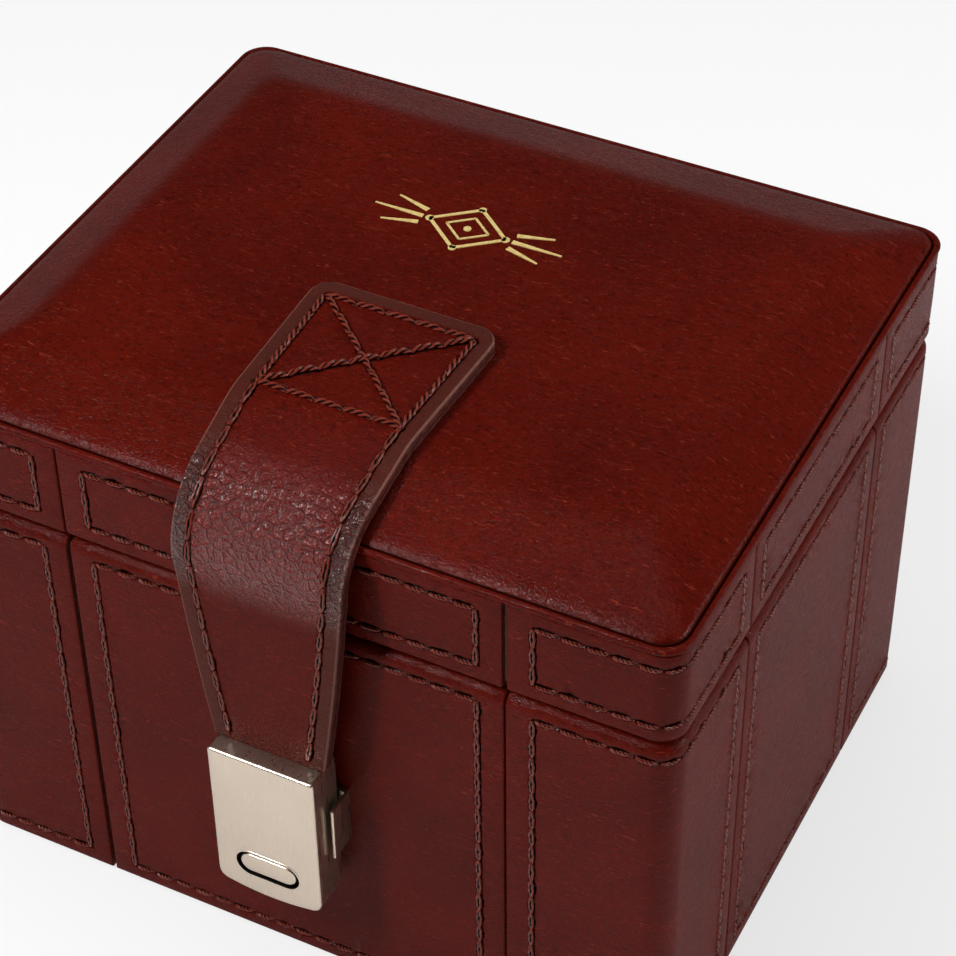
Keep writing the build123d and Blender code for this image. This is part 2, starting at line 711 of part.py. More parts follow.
def clasp_screws():
    """Two screws that clamp the strap's tongue to the bosses of the housing."""
    inner, outer = strap_tongue_faces()
    z = clasp_top_z() - STRAP_TONGUE_LENGTH / 2
    screws = []
    for x in (-STRAP_TONGUE_HALF / 2, STRAP_TONGUE_HALF / 2):
        seat = inner + CLASP_WALL
        head = rod_along_y(x, z, CLASP_SCREW_HEAD_RADIUS, seat, seat + SCREW_HEAD_HEIGHT)
        shank = rod_along_y(x, z, CLASP_SCREW_SHANK_RADIUS, outer - CLASP_SCREW_GRIP, seat)
        screws.append(head + shank)
    return screws


def clasp_faces():
    """Y of the front of the clasp, the inside of its front plate, and its open back."""
    front = -half_d - CLASP_PROUD
    return front, front + CLASP_FRONT_PLATE, -half_d - CLASP_BACK_GAP


def clasp_top_z():
    """Height of the top of the clasp."""
    return CLASP_BOTTOM + CLASP_HEIGHT


def button_z():
    """Height of the middle of the push button."""
    return CLASP_BOTTOM + BUTTON_HEIGHT_ABOVE_BOTTOM


def clasp_outline():
    """Front view of the clasp, with its shallow arched lower edge."""
    half, high = CLASP_WIDTH / 2, clasp_top_z()
    corner = CLASP_BOTTOM + CLASP_ARC_DROP
    edge = ThreePointArc((-half, corner), (0, CLASP_BOTTOM), (half, corner))
    edge += Polyline((half, corner), (half, high), (-half, high), (-half, corner))
    face = make_face(edge)
    lower = face.vertices().sort_by(Axis.Y)[:2]
    return fillet(lower, CLASP_CORNER)


def build_clasp_housing():
    """A hood open at its back and underside: front plate, side walls, top and bosses."""
    front, inside, back = clasp_faces()
    half, top = CLASP_WIDTH / 2, clasp_top_z()
    plane = Plane((0, front, 0), x_dir=(1, 0, 0), z_dir=(0, -1, 0))
    hood = extrude(plane * clasp_outline(), -(back - front))
    hood = fillet(hood.faces().sort_by(Axis.Y)[0].edges(), CLASP_EDGE)
    hood -= block(-half + CLASP_WALL, half - CLASP_WALL, inside, 0, 0, top - CLASP_WALL)
    tongue_in, tongue_out = strap_tongue_faces()
    slot = STRAP_TONGUE_HALF + BUTTON_PLAY
    slot_out, slot_in = tongue_out - STRAP_TONGUE_PLAY, tongue_in + STRAP_TONGUE_PLAY
    hood -= block(-slot, slot, slot_out, slot_in, top - 2 * CLASP_WALL, top + OVERCUT)
    hood -= stadium_along_y(BUTTON_LENGTH, BUTTON_WIDTH, button_z(), front - OVERCUT, inside + TOUCH)
    z = top - STRAP_TONGUE_LENGTH / 2
    for x in (-STRAP_TONGUE_HALF / 2, STRAP_TONGUE_HALF / 2):
        hood += rod_along_y(x, z, SCREW_HEAD_RADIUS, inside, tongue_out)
    pieces["clasp_housing"] = without(hood, clasp_screws())
    clamp_low = top - STRAP_TONGUE_LENGTH + CLAMP_LOW_INSET
    clamp_high = top - CLAMP_HIGH_INSET
    clamp = block(-STRAP_TONGUE_HALF, STRAP_TONGUE_HALF, tongue_in, tongue_in + CLASP_WALL,
                  clamp_low, clamp_high)
    pieces["strap_clamp_plate"] = without(clamp, clasp_screws())
    pieces["clasp_screws"] = group(clasp_screws())


def flange_front():
    """Y of the button's flange, just behind the front plate."""
    inside = clasp_faces()[1]
    return inside + BUTTON_FLANGE_GAP


def spring_seat_y():
    """Y of the face of the spring seat that looks at the button."""
    return flange_front() + BUTTON_FLANGE + SPRING_SEAT_GAP


def build_button():
    """Push button with its flange and two ramps, the seat behind it and the leaf spring."""
    front = clasp_faces()[0]
    z = button_z()
    flange_y = flange_front()
    flange_back = flange_y + BUTTON_FLANGE
    cap = stadium_along_y(BUTTON_LENGTH - 2 * BUTTON_PLAY, BUTTON_WIDTH - 2 * BUTTON_PLAY, z,
                          front + BUTTON_RECESS, flange_y)
    cap = fillet(cap.faces().sort_by(Axis.Y)[0].edges(), BUTTON_EDGE)
    flange_length = BUTTON_LENGTH + 2 * BUTTON_FLANGE_LIP
    flange_width = BUTTON_WIDTH + 2 * BUTTON_FLANGE_LIP
    button = cap + stadium_along_y(flange_length, flange_width, z, flange_y, flange_back)
    for side in (-1, 1):
        button += ramp_lug(side, flange_y, z)
    pieces["push_button"] = button
    seat = spring_seat_y()
    half = CLASP_WIDTH / 2 - CLASP_WALL
    low, high = z - SPRING_SPAN / 2 - SPRING_SEAT_LIP, z + SPRING_SPAN / 2
    pieces["spring_seat"] = block(-half, half, seat, seat + SPRING_SEAT, low, high)
    bow = SPRING_SEAT_GAP - BUTTON_TRAVEL - RAMP_GAP
    pieces["button_spring"] = leaf_spring(seat, bow, z)


def leaf_spring(seat, bow, z):
    """A bowed strip that rests with both ends on its seat."""
    half = SPRING_SPAN / 2
    outer = ThreePointArc((seat, z - half), (seat - bow, z), (seat, z + half))
    inner = ThreePointArc((seat, z - half + SPRING_STRIP), (seat - bow + SPRING_STRIP, z),
                          (seat, z + half - SPRING_STRIP))
    ends = Line(outer @ 0, inner @ 0) + Line(outer @ 1, inner @ 1)
    return extrude(Plane.YZ * make_face(outer + inner + ends), SPRING_WIDTH / 2, both=True)


def ramp_line(flange_y, z):
    """The 45 degree line Y + Z = value that the button's ramps end on."""
    return flange_y + z + BUTTON_WIDTH / 2 + RAMP_RISE


def ramp_lug(side, flange_y, z):
    """One ramp of the button, its slope facing up and inward."""
    value = ramp_line(flange_y, z)
    y0, y1 = flange_y, spring_seat_y() - BUTTON_TRAVEL - RAMP_BACK_GAP
    z0 = z + BUTTON_WIDTH / 2 - BUTTON_FLANGE_LIP
    face = make_face(Polyline((y0, z0), (y1, z0), (y1, value - y1), (y0, value - y0), close=True))
    x0 = side * (SLIDER_LEG_INNER + RAMP_WIDTH / 2)
    return Pos(x0, 0, 0) * extrude(Plane.YZ * face, RAMP_WIDTH / 2, both=True)


def build_latch_slider():
    """The latch: two legs beside the keeper post, a bridge over it and a tooth."""
    flange_y = flange_front()
    value = ramp_line(flange_y, button_z()) + RAMP_GAP * math.sqrt(2)
    y0 = flange_y + SLIDER_SIDE_PLAY
    y1 = y0 + SLIDER_THICKNESS
    post_top = KEEPER_BOTTOM + KEEPER_POST_RISE + KEEPER_POST_HEIGHT
    bridge_low = post_top + TOOTH_GAP + SLIDER_BRIDGE_LIFT
    bridge_high = bridge_low + SLIDER_BRIDGE_HEIGHT
    outer = CLASP_WIDTH / 2 - CLASP_WALL - SLIDER_SIDE_PLAY
    leg = Polyline((y0, value - y0), (y1, value - y1), (y1, bridge_high), (y0, bridge_high), close=True)
    leg_face = make_face(leg)
    slider = block(-outer, outer, y0, y1, bridge_low, bridge_high)
    width = outer - SLIDER_LEG_INNER
    for side in (-1, 1):
        x = side * (SLIDER_LEG_INNER + width / 2)
        slider += Pos(x, 0, 0) * extrude(Plane.YZ * leg_face, width / 2, both=True)
    tooth_y = y1 + TOOTH_REACH
    slider += block(-TOOTH_HALF, TOOTH_HALF, y0, tooth_y, post_top + TOOTH_GAP, bridge_high)
    pieces["latch_slider"] = slider


def build_keeper():
    """The keeper on the body front: plate, two ears beside the clasp and the post."""
    plate_y = -half_d - KEEPER_PLATE
    plate = block(-KEEPER_HALF_WIDTH, KEEPER_HALF_WIDTH, plate_y, -half_d, KEEPER_BOTTOM, KEEPER_TOP)
    ear_in = CLASP_WIDTH / 2 + KEEPER_EAR_GAP
    ear_low = (KEEPER_BOTTOM + KEEPER_TOP - KEEPER_EAR_HEIGHT) / 2
    ear_high = ear_low + KEEPER_EAR_HEIGHT
    ear = block(ear_in, ear_in + KEEPER_EAR, plate_y - KEEPER_EAR_REACH, plate_y, ear_low, ear_high)
    post_low = KEEPER_BOTTOM + KEEPER_POST_RISE
    post = block(-KEEPER_POST_HALF, KEEPER_POST_HALF, plate_y - KEEPER_POST_REACH, plate_y,
                 post_low, post_low + KEEPER_POST_HEIGHT)
    notch_half = TOOTH_HALF + NOTCH_SIDE_PLAY
    notch_front = plate_y - KEEPER_POST_REACH + NOTCH_FRONT_WALL
    notch_low = post_low + KEEPER_POST_HEIGHT - NOTCH_DEPTH
    notch = block(-notch_half, notch_half, notch_front, plate_y - NOTCH_BACK_WALL, notch_low, REACH)
    keeper = plate + ear + mirror(ear, Plane.YZ) + (post - notch)
    pieces["keeper"] = without(keeper, keeper_screws())
    pieces["keeper_screws"] = group(keeper_screws())


build_carcass()
build_body_leather()
build_watch_tray()
build_dividers()
build_cushions()
build_drawer()
build_drawer_pull()
build_drawer_slides()
build_lid_frame()
build_lid_crown()
build_lid_band()
build_hinges()
build_strap()
build_clasp_housing()
build_button()
build_latch_slider()
build_keeper()

os.makedirs("parts", exist_ok=True)
for name, piece in pieces.items():
    export_step(piece, f"parts/{name}.step")
print(len(pieces), "nodes written")
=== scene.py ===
import json
import logging
import math
from dataclasses import dataclass, field, replace
from enum import Enum
from typing import Callable, Iterable

import bmesh
import bpy
import numpy as np
from mathutils import Matrix, Vector


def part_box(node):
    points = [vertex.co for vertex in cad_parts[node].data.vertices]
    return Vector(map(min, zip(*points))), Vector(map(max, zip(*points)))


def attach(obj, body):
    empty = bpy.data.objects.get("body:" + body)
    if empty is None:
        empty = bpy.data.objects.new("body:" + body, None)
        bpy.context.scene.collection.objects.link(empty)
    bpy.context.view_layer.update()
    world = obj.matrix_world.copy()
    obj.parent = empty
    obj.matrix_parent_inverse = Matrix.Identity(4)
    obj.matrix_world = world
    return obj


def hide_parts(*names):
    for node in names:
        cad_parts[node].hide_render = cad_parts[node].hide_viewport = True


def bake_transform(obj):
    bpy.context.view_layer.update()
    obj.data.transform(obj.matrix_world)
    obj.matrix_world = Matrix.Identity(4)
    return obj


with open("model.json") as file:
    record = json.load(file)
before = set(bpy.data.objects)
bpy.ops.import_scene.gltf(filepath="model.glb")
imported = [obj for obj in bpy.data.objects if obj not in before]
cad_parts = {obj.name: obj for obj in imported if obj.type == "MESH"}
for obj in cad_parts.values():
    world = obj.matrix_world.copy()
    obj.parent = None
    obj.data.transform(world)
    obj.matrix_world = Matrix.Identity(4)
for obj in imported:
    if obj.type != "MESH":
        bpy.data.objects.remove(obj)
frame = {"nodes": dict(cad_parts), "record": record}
log = logging.getLogger("watch_box")

Colour = tuple[float, float, float]
Spot = tuple[float, float]
Span = tuple[float, float]
Node = tuple[int, int]
Face = tuple[int, ...]
Skin = tuple[np.ndarray, list[Face]]
Socket = bpy.types.NodeSocket
Surface = Callable[[np.ndarray, np.ndarray, np.ndarray], np.ndarray]

SNAP = 1e7
TOUCH = 1e-6
SHARP_EDGE = math.radians(38)
SEED = 11


class Axis(Enum):
    """Which way a row runs on a sheet: along it, across it, or at a slant."""

    ALONG = 0
    ACROSS = 1
    SLANTING = 2


class Place(Enum):
    """Where a piece of leather lies, which sets how much it is creased and dulled."""

    BOX = "box"
    STRAP = "strap"
    INSIDE = "inside"
    TURNED = "turned over an edge"


class Tree:
    """A short way to write nodes."""

    def __init__(self, tree: bpy.types.NodeTree) -> None:
        """Start with the nodes that a tree already has."""
        self.nodes = tree.nodes
        self.links = tree.links

    def feed(self, socket: Socket, value: object) -> None:
        """Link a socket to another, or set its plain value.

        Args:
            socket: The input.
            value: Another socket, or a plain value.
        """
        if isinstance(value, Socket):
            self.links.new(value, socket)
        else:
            socket.default_value = value

    def add(self, kind: str, inputs: dict | None = None, **settings: object) -> bpy.types.Node:
        """Add a node.

        Args:
            kind: Blender's type name of the node.
            inputs: Values or sockets for its inputs, by name or number.
            settings: Properties of the node itself.

        Returns:
            The new node.
        """
        node = self.nodes.new(kind)
        for key, value in settings.items():
            setattr(node, key, value)
        for key, value in (inputs or {}).items():
            self.feed(node.inputs[key], value)
        return node

    def stretch(self, vector: Socket, x: float, y: float, z: float, turn: float = 0.0) -> Socket:
        """The vector scaled differently along its axes, and turned about Z by some degrees.

        Args:
            vector: The vector.
            x: Scale along X.
            y: Scale along Y.
            z: Scale along Z.
            turn: Degrees about Z.

        Returns:
            The changed vector.
        """
        turned = (0.0, 0.0, math.radians(turn))
        node = self.add("ShaderNodeMapping", {"Vector": vector, "Rotation": turned, "Scale": (x, y, z)})
        return node.outputs["Vector"]

    def part(self, vector: Socket, axis: int) -> Socket:
        """One component of a vector."""
        return self.add("ShaderNodeSeparateXYZ", {0: vector}).outputs[axis]

    def noise(self, vector: Socket, size: float, detail: float = 3.0, twist: float = 0.0) -> Socket:
        """Cloudy noise whose largest features have a real size in metres."""
        inputs = {"Vector": vector, "Scale": 1 / size, "Detail": detail, "Distortion": twist}
        return self.add("ShaderNodeTexNoise", inputs).outputs[0]

    def cells(self, vector: Socket, size: float) -> Socket:
        """Distance to the edge of irregular cells of a real size in metres."""
        inputs = {"Vector": vector, "Scale": 1 / size}
        return self.add("ShaderNodeTexVoronoi", inputs, feature="DISTANCE_TO_EDGE").outputs["Distance"]

    def warp(self, vector: Socket, often: float, reach: float) -> Socket:
        """The vector moved about by noise, so often in a metre and about so far.

        Args:
            vector: The vector.
            often: Features of the noise in a metre.
            reach: How far it moves a place, in metres.

        Returns:
            The moved vector.
        """
        push = self.add("ShaderNodeTexNoise", {"Vector": vector, "Scale": often}).outputs[1]
        push = self.add("ShaderNodeVectorMath", {0: push, "Scale": reach}, operation="SCALE").outputs[0]
        return self.add("ShaderNodeVectorMath", {0: vector, 1: push}, operation="ADD").outputs[0]

    def math(self, operation: str, a: object, b: object = 0.0) -> Socket:
        """Arithmetic on two values."""
        return self.add("ShaderNodeMath", {0: a, 1: b}, operation=operation).outputs[0]

    def span(self, value: Socket, low: float, high: float, to_low: object = 0.0,
             to_high: object = 1.0) -> Socket:
        """A value carried from one span to another, and held inside it."""
        inputs = {"Value": value, "From Min": low, "From Max": high, "To Min": to_low, "To Max": to_high}
        return self.add("ShaderNodeMapRange", inputs, clamp=True).outputs[0]

    def mix(self, share: object, a: object, b: object) -> Socket:
        """A colour between two others.

        Args:
            share: 0 for the first colour and 1 for the second.
            a: The first colour.
            b: The second colour.

        Returns:
            The colour between them.
        """
        colours = [(*c, 1.0) if isinstance(c, tuple) else c for c in (a, b)]
        inputs = {0: share, 6: colours[0], 7: colours[1]}
        return self.add("ShaderNodeMix", inputs, data_type="RGBA").outputs[2]


class Graph(Tree):
    """The nodes of one material."""

    def __init__(self, name: str) -> None:
        """Start a material that holds one principled shader.

        Args:
            name: What the finish is called.
        """
        self.material = bpy.data.materials.new(name)
        self.material.use_nodes = True
        super().__init__(self.material.node_tree)
        self.shader = self.nodes["Principled BSDF"]

    def shade(self, **inputs: object) -> None:
        """Set inputs of the shader, with underscores for the spaces in their names."""
        for key, value in inputs.items():
            self.feed(self.shader.inputs[key.replace("_", " ")], value)

    def read(self, name: str) -> Socket:
        """The vector that the meshes carry under a name."""
        return self.add("ShaderNodeAttribute", attribute_name=name).outputs["Vector"]

    def lay(self) -> Socket:
        """Place on the flat leather, in metres, which turns and bends with the piece."""
        return self.read("lay")

    def place(self) -> Socket:
        """Place on the object itself, in metres."""
        return self.add("ShaderNodeTexCoord").outputs["Object"]

    def relief(self, height: Socket, depth: float) -> None:
        """Give the shader a bump whose full height is a real depth in metres."""
        bump = self.add("ShaderNodeBump", {"Height": height, "Distance": depth, "Strength": 1.0})
        self.shade(Normal=bump.outputs["Normal"], Coat_Normal=bump.outputs["Normal"])


@dataclass(frozen=True)
class LeatherFinish:
    """Waxed oxblood calf: fine pressed grain, fibre lines, dull rims, painted shade in and beside the stitch
    holes, and a painted sheen where the strap bends.
    """

    name: str = "oxblood_leather"
    place: Place = Place.BOX
    deep: Colour = (0.050, 0.0030, 0.0014)
    red: Colour = (0.104, 0.0058, 0.0022)
    shade: Colour = (0.026, 0.0016, 0.0010)
    flare: Colour = (0.26, 0.036, 0.018)
    dull: Colour = (0.058, 0.0150, 0.0105)
    worn: Colour = (0.20, 0.085, 0.065)
    # Painted sheen where the strap bends: a paler red that stands in for the key light's highlight, partly
    # the paling of stretched leather.
    bend_paling_and_sheen: Colour = (0.19, 0.014, 0.010)
    # Painted shade: near black for the inside of stitch holes and the leather beside the rows.
    hole: Colour = (0.010, 0.0015, 0.0010)
    roughness: float = 0.27
    shine: float = 0.008
    wax: float = 0.10
    bend_wax: float = 0.55
    bend_shine: float = 0.32
    bend_roughness: float = 0.44
    wax_roughness: float = 0.13
    grain: float = 0.0011
    grain_depth: float = 0.00020
    cloud: float = 0.040
    fibre: float = 0.0021
    fibre_turn: float = 32.0
    hair: float = 0.0028
    hair_turn: float = -24.0
    crease: float = 0.0031
    crease_turn: float = 12.0
    crease_height: float = 3.6
    crack_height: float = 1.5
    warps: float = 420.0
    warp_reach: float = 0.0016
    rim: float = 0.0040
    thin_rim: Span = (0.0003, 0.0006)

    def build(self) -> bpy.types.Material:
        """Write the nodes.

        Returns:
            The finished material.
        """
        graph = Graph(self.name)
        graph.shade(Coat_Weight=self.wax, Specular_IOR_Level=self.shine, Coat_Roughness=self.wax_roughness)
        lay = graph.place() if self.place is Place.TURNED else graph.lay()
        wear = graph.read("wear")
        fibre = graph.noise(graph.stretch(lay, 1.0, 2.0, 1.0, self.fibre_turn), self.fibre, 5.0, 1.4)
        colour = self.colour(graph, lay, fibre)
        roughness = graph.span(fibre, 0.3, 0.7, self.roughness + 0.07, self.roughness - 0.05)
        if self.place is Place.STRAP:
            colour, roughness = self.worn_strap(graph, wear, colour, roughness)
        # Painted shade: darken the stitch holes and the leather beside the rows by the mesh's shade share.
        holes = graph.span(graph.part(wear, 2), 0.10, 0.75)
        graph.shade(Base_Color=graph.mix(holes, colour, self.hole), Roughness=roughness)
        graph.relief(self.height(graph, lay, fibre, wear), self.grain_depth)
        return graph.material

    def colour(self, graph: Graph, lay: Socket, fibre: Socket) -> Socket:
        """Cloudy red, with darker fibres and fine bright hairs.

        Args:
            graph: The material being written.
            lay: Place on the flat leather.
            fibre: The fibre noise.

        Returns:
            The colour.
        """
        hairs = graph.noise(graph.stretch(lay, 0.7, 3.2, 1.0, self.hair_turn), self.hair, 4.0, 2.2)
        cloud = graph.span(graph.noise(lay, self.cloud, 5.0, 0.4), 0.25, 0.80, 0.15, 0.85)
        colour = graph.mix(cloud, self.deep, self.red)
        colour = graph.mix(graph.span(fibre, 0.32, 0.52, 0.60, 0.0), colour, self.shade)
        return graph.mix(graph.math("MULTIPLY", graph.span(hairs, 0.61, 0.70), 0.42), colour, self.flare)

    def worn_strap(self, graph: Graph, wear: Socket, colour: Socket,
                   roughness: Socket) -> tuple[Socket, Socket]:
        """Paint a paler sheen where the strap bends, partly the paling of stretched leather and partly a
        painted highlight, polish it there, and dull it along the cut rim.

        Args:
            graph: The material being written.
            wear: The mesh's record of rim, bend and the painted shade of the stitch holes.
            colour: The plain leather's colour.
            roughness: The plain leather's roughness.

        Returns:
            The changed colour and roughness.
        """
        cut, bend = graph.part(wear, 0), graph.part(wear, 1)
        # Painted highlight: the bend paled towards the key light's sheen, partly the paling of stretched
        # leather.
        colour = graph.mix(graph.math("MULTIPLY", bend, 0.7), colour, self.bend_paling_and_sheen)
        rim = graph.span(cut, self.rim - 0.0005, self.rim + 0.0002, 0.80, 0.0)
        colour = graph.mix(rim, colour, self.dull)
        colour = graph.mix(graph.span(cut, *self.thin_rim, 0.75, 0.0), colour, self.worn)
        roughness = graph.math("ADD", roughness, graph.math("MULTIPLY", rim, 0.10))
        graph.shade(Coat_Weight=graph.span(bend, 0.0, 1.0, self.wax, self.bend_wax))
        graph.shade(Specular_IOR_Level=graph.span(bend, 0.0, 1.0, self.shine, self.bend_shine))
        return colour, graph.span(bend, 0.0, 1.0, roughness, self.bend_roughness)

    def height(self, graph: Graph, lay: Socket, fibre: Socket, wear: Socket) -> Socket:
        """Height of the grain, with creased cells where the strap bends.

        Args:
            graph: The material being written.
            lay: Place on the flat leather.
            fibre: The fibre noise of the colour, so that lines are seen and felt together.
            wear: The mesh's record of rim, bend and the painted shade of the stitch holes.

        Returns:
            The height, about 0 to 1.
        """
        pores = graph.span(graph.cells(graph.stretch(lay, 1.0, 1.3, 1.0), self.grain), 0.0, 0.26)
        grain = graph.math("ADD", graph.math("MULTIPLY", fibre, 1.1), graph.math("MULTIPLY", pores, 0.22))
        if self.place is not Place.STRAP:
            return grain
        warped = graph.warp(lay, self.warps, self.warp_reach)
        turned = graph.stretch(warped, 1.0, 1.5, 1.0, self.crease_turn)
        creases = graph.span(graph.cells(turned, self.crease), 0.0, 0.16)
        cracks = graph.span(graph.cells(warped, self.grain), 0.0, 0.2)
        creased = graph.math("ADD", graph.math("MULTIPLY", creases, self.crease_height),
                             graph.math("MULTIPLY", cracks, self.crack_height))
        return graph.math("ADD", grain, graph.math("MULTIPLY", creased, graph.part(wear, 1)))


@dataclass(frozen=True)
class EdgeFinish:
    """Cut leather edges, dyed dark and burnished with wax."""

    name: str = "burnished_edge"
    dark: Colour = (0.030, 0.0045, 0.0030)
    light: Colour = (0.095, 0.018, 0.012)
    roughness: float = 0.34
    layer: float = 0.0012
    depth: float = 0.00005

    def build(self) -> bpy.types.Material:
        """Write the nodes.

        Returns:
            The finished material.
        """
        graph = Graph(self.name)
        layers = graph.noise(graph.place(), self.layer, 4.0)
        graph.shade(Base_Color=graph.mix(graph.span(layers, 0.35, 0.7), self.dark, self.light))
        graph.shade(Roughness=graph.span(layers, 0.3, 0.7, self.roughness, self.roughness + 0.2))
        graph.relief(layers, self.depth)
        return graph.material


@dataclass(frozen=True)
class ThreadFinish:
    """Waxed linen thread, twisted from two plies, a shade lighter than the leather, with painted shade where
    the plies face each other.
    """

    name: str = "waxed_thread"
    # Painted shade where one ply faces the other.
    dark: Colour = (0.0060, 0.0010, 0.0008)
    middle: Colour = (0.085, 0.0110, 0.0062)
    light: Colour = (0.24, 0.040, 0.022)
    roughness: float = 0.28
    strand: float = 0.0005
    depth: float = 0.00006

    def build(self) -> bpy.types.Material:
        """Write the nodes.

        Returns:
            The finished material.
        """
        graph = Graph(self.name)
        lay = graph.lay()
        strands = graph.noise(graph.stretch(lay, 0.25, 3.0, 0.0, 40.0), self.strand)
        colour = graph.mix(graph.span(strands, 0.35, 0.65), self.middle, self.light)
        # Painted shade: darker where the ply faces the other ply, as lay's third part records.
        between = graph.span(graph.part(lay, 2), 0.25, 0.72)
        graph.shade(Base_Color=graph.mix(between, self.dark, colour))
        graph.shade(Roughness=self.roughness, Specular_IOR_Level=0.20)
        graph.relief(strands, self.depth)
        return graph.material


@dataclass(frozen=True)
class MetalFinish:
    """Plated metal, with fine brush marks along one axis of the part."""

    name: str
    colour: Colour
    roughness: float = 0.30
    marks: tuple[float, float, float] = (1.0, 1.0, 0.04)
    streak: float = 0.0005
    cloud: float = 0.012
    depth: float = 0.000006

    def build(self) -> bpy.types.Material:
        """Write the nodes.

        Returns:
            The finished material.
        """
        graph = Graph(self.name)
        place = graph.place()
        marks = graph.noise(graph.stretch(place, *self.marks), self.streak)
        darker = tuple(0.90 * c for c in self.colour)
        graph.shade(Base_Color=graph.mix(graph.noise(place, self.cloud), self.colour, darker), Metallic=1.0)
        graph.shade(Roughness=graph.span(marks, 0.3, 0.7, self.roughness - 0.05, self.roughness + 0.07))
        graph.relief(marks, self.depth)
        return graph.material


@dataclass(frozen=True)
class NapFinish:
    """Brushed cloth: suede, felt or foam, with a soft pile and lighter brushed patches."""

    name: str
    low: Colour
    high: Colour
    nap: float = 0.0007
    patch: float = 0.018
    depth: float = 0.00018
    bloom: float = 0.35

    def build(self) -> bpy.types.Material:
        """Write the nodes.

        Returns:
            The finished material.
        """
        graph = Graph(self.name)
        place = graph.place()
        pile = graph.noise(place, self.nap, 4.0, 0.6)
        patches = graph.span(graph.noise(place, self.patch, 4.0, 0.8), 0.35, 0.65)
        tone = graph.math("ADD", graph.math("MULTIPLY", patches, 0.55), graph.math("MULTIPLY", pile, 0.45))
        graph.shade(Base_Color=graph.mix(tone, self.low, self.high))
        graph.shade(Roughness=graph.span(pile, 0.0, 1.0, 0.85, 0.98))
        graph.shade(Specular_IOR_Level=0.15, Sheen_Weight=self.bloom, Sheen_Roughness=0.4)
        graph.relief(pile, self.depth)
        return graph.material


@dataclass(frozen=True)
class BoardFinish:
    """Fine-grained stained board under the leather and in the drawer."""

    name: str = "stained_board"
    dark: Colour = (0.075, 0.030, 0.014)
    light: Colour = (0.19, 0.085, 0.040)
    ring: float = 0.004
    pore: float = 0.0006
    depth: float = 0.00006

    def build(self) -> bpy.types.Material:
        """Write the nodes.

        Returns:
            The finished material.
        """
        graph = Graph(self.name)
        place = graph.place()
        grain = graph.noise(graph.stretch(place, 0.07, 1.0, 1.0), self.ring, 5.0, 0.5)
        pores = graph.noise(graph.stretch(place, 0.05, 1.0, 1.0), self.pore, 2.0)
        graph.shade(Base_Color=graph.mix(graph.span(grain, 0.3, 0.7), self.dark, self.light))
        graph.shade(Roughness=graph.span(pores, 0.3, 0.7, 0.42, 0.60), Specular_IOR_Level=0.4)
        graph.relief(graph.math("ADD", grain, pores), self.depth)
        return graph.material


@dataclass(frozen=True)
class FoilFinish:
    """Gold foil pressed into leather, letting the grain show through."""

    name: str = "gold_foil"
    bright: Colour = (0.86, 0.66, 0.26)
    worn: Colour = (0.62, 0.42, 0.13)
    speck: float = 0.0012
    depth: float = 0.00005

    def build(self) -> bpy.types.Material:
        """Write the nodes.

        Returns:
            The finished material.
        """
        graph = Graph(self.name)
        wear = graph.noise(graph.place(), self.speck, 4.0)
        graph.shade(Base_Color=graph.mix(graph.span(wear, 0.45, 0.75), self.bright, self.worn))
        graph.shade(Metallic=0.35, Roughness=graph.span(wear, 0.3, 0.7, 0.38, 0.55))
        graph.relief(wear, self.depth)
        return graph.material


class Finishes:
    """Every finish of the box, each built once."""

    def __init__(self) -> None:
        """Build the materials."""
        self.leather = LeatherFinish().build()
        self.strap = LeatherFinish("strap_leather", Place.STRAP, roughness=0.23, grain_depth=0.00030).build()
        self.lining = LeatherFinish("strap_lining", Place.INSIDE, red=(0.070, 0.010, 0.006)).build()
        self.turned = LeatherFinish("turned_leather", Place.TURNED).build()
        self.edge = EdgeFinish().build()
        self.thread = ThreadFinish().build()
        self.nickel = MetalFinish("satin_nickel", (0.60, 0.505, 0.41)).build()
        # Painted shadow: a near-black metal for the walls inside the clasp's button gap.
        self.shadow = MetalFinish("shadow_painted_metal", (0.012, 0.010, 0.009), 0.5).build()
        self.steel = MetalFinish("bright_steel", (0.56, 0.55, 0.53), 0.26, (0.1, 1.0, 1.0)).build()
        self.suede = NapFinish("tan_suede", (0.27, 0.17, 0.10), (0.44, 0.30, 0.19)).build()
        self.cushion = NapFinish("cushion_suede", (0.31, 0.20, 0.12), (0.50, 0.35, 0.23), bloom=0.5).build()
        self.felt = NapFinish("brown_felt", (0.030, 0.018, 0.013), (0.075, 0.048, 0.036), 0.0009).build()
        self.foam = NapFinish("dense_foam", (0.55, 0.50, 0.38), (0.72, 0.68, 0.55), 0.0006, bloom=0.0).build()
        self.board = BoardFinish().build()
        self.foil = FoilFinish().build()

    def of_slot(self, slot: str) -> bpy.types.Material:
        """The finish of a CAD node by the name of its material slot.

        Args:
            slot: Name of the slot.

        Returns:
            The material.
        """
        return {
            "leather": self.turned, "strap_leather": self.strap, "strap_lining": self.lining,
            "board": self.board, "suede": self.suede, "cushion": self.cushion, "foam": self.foam,
            "felt": self.felt, "nickel": self.nickel, "steel": self.steel,
        }[slot]


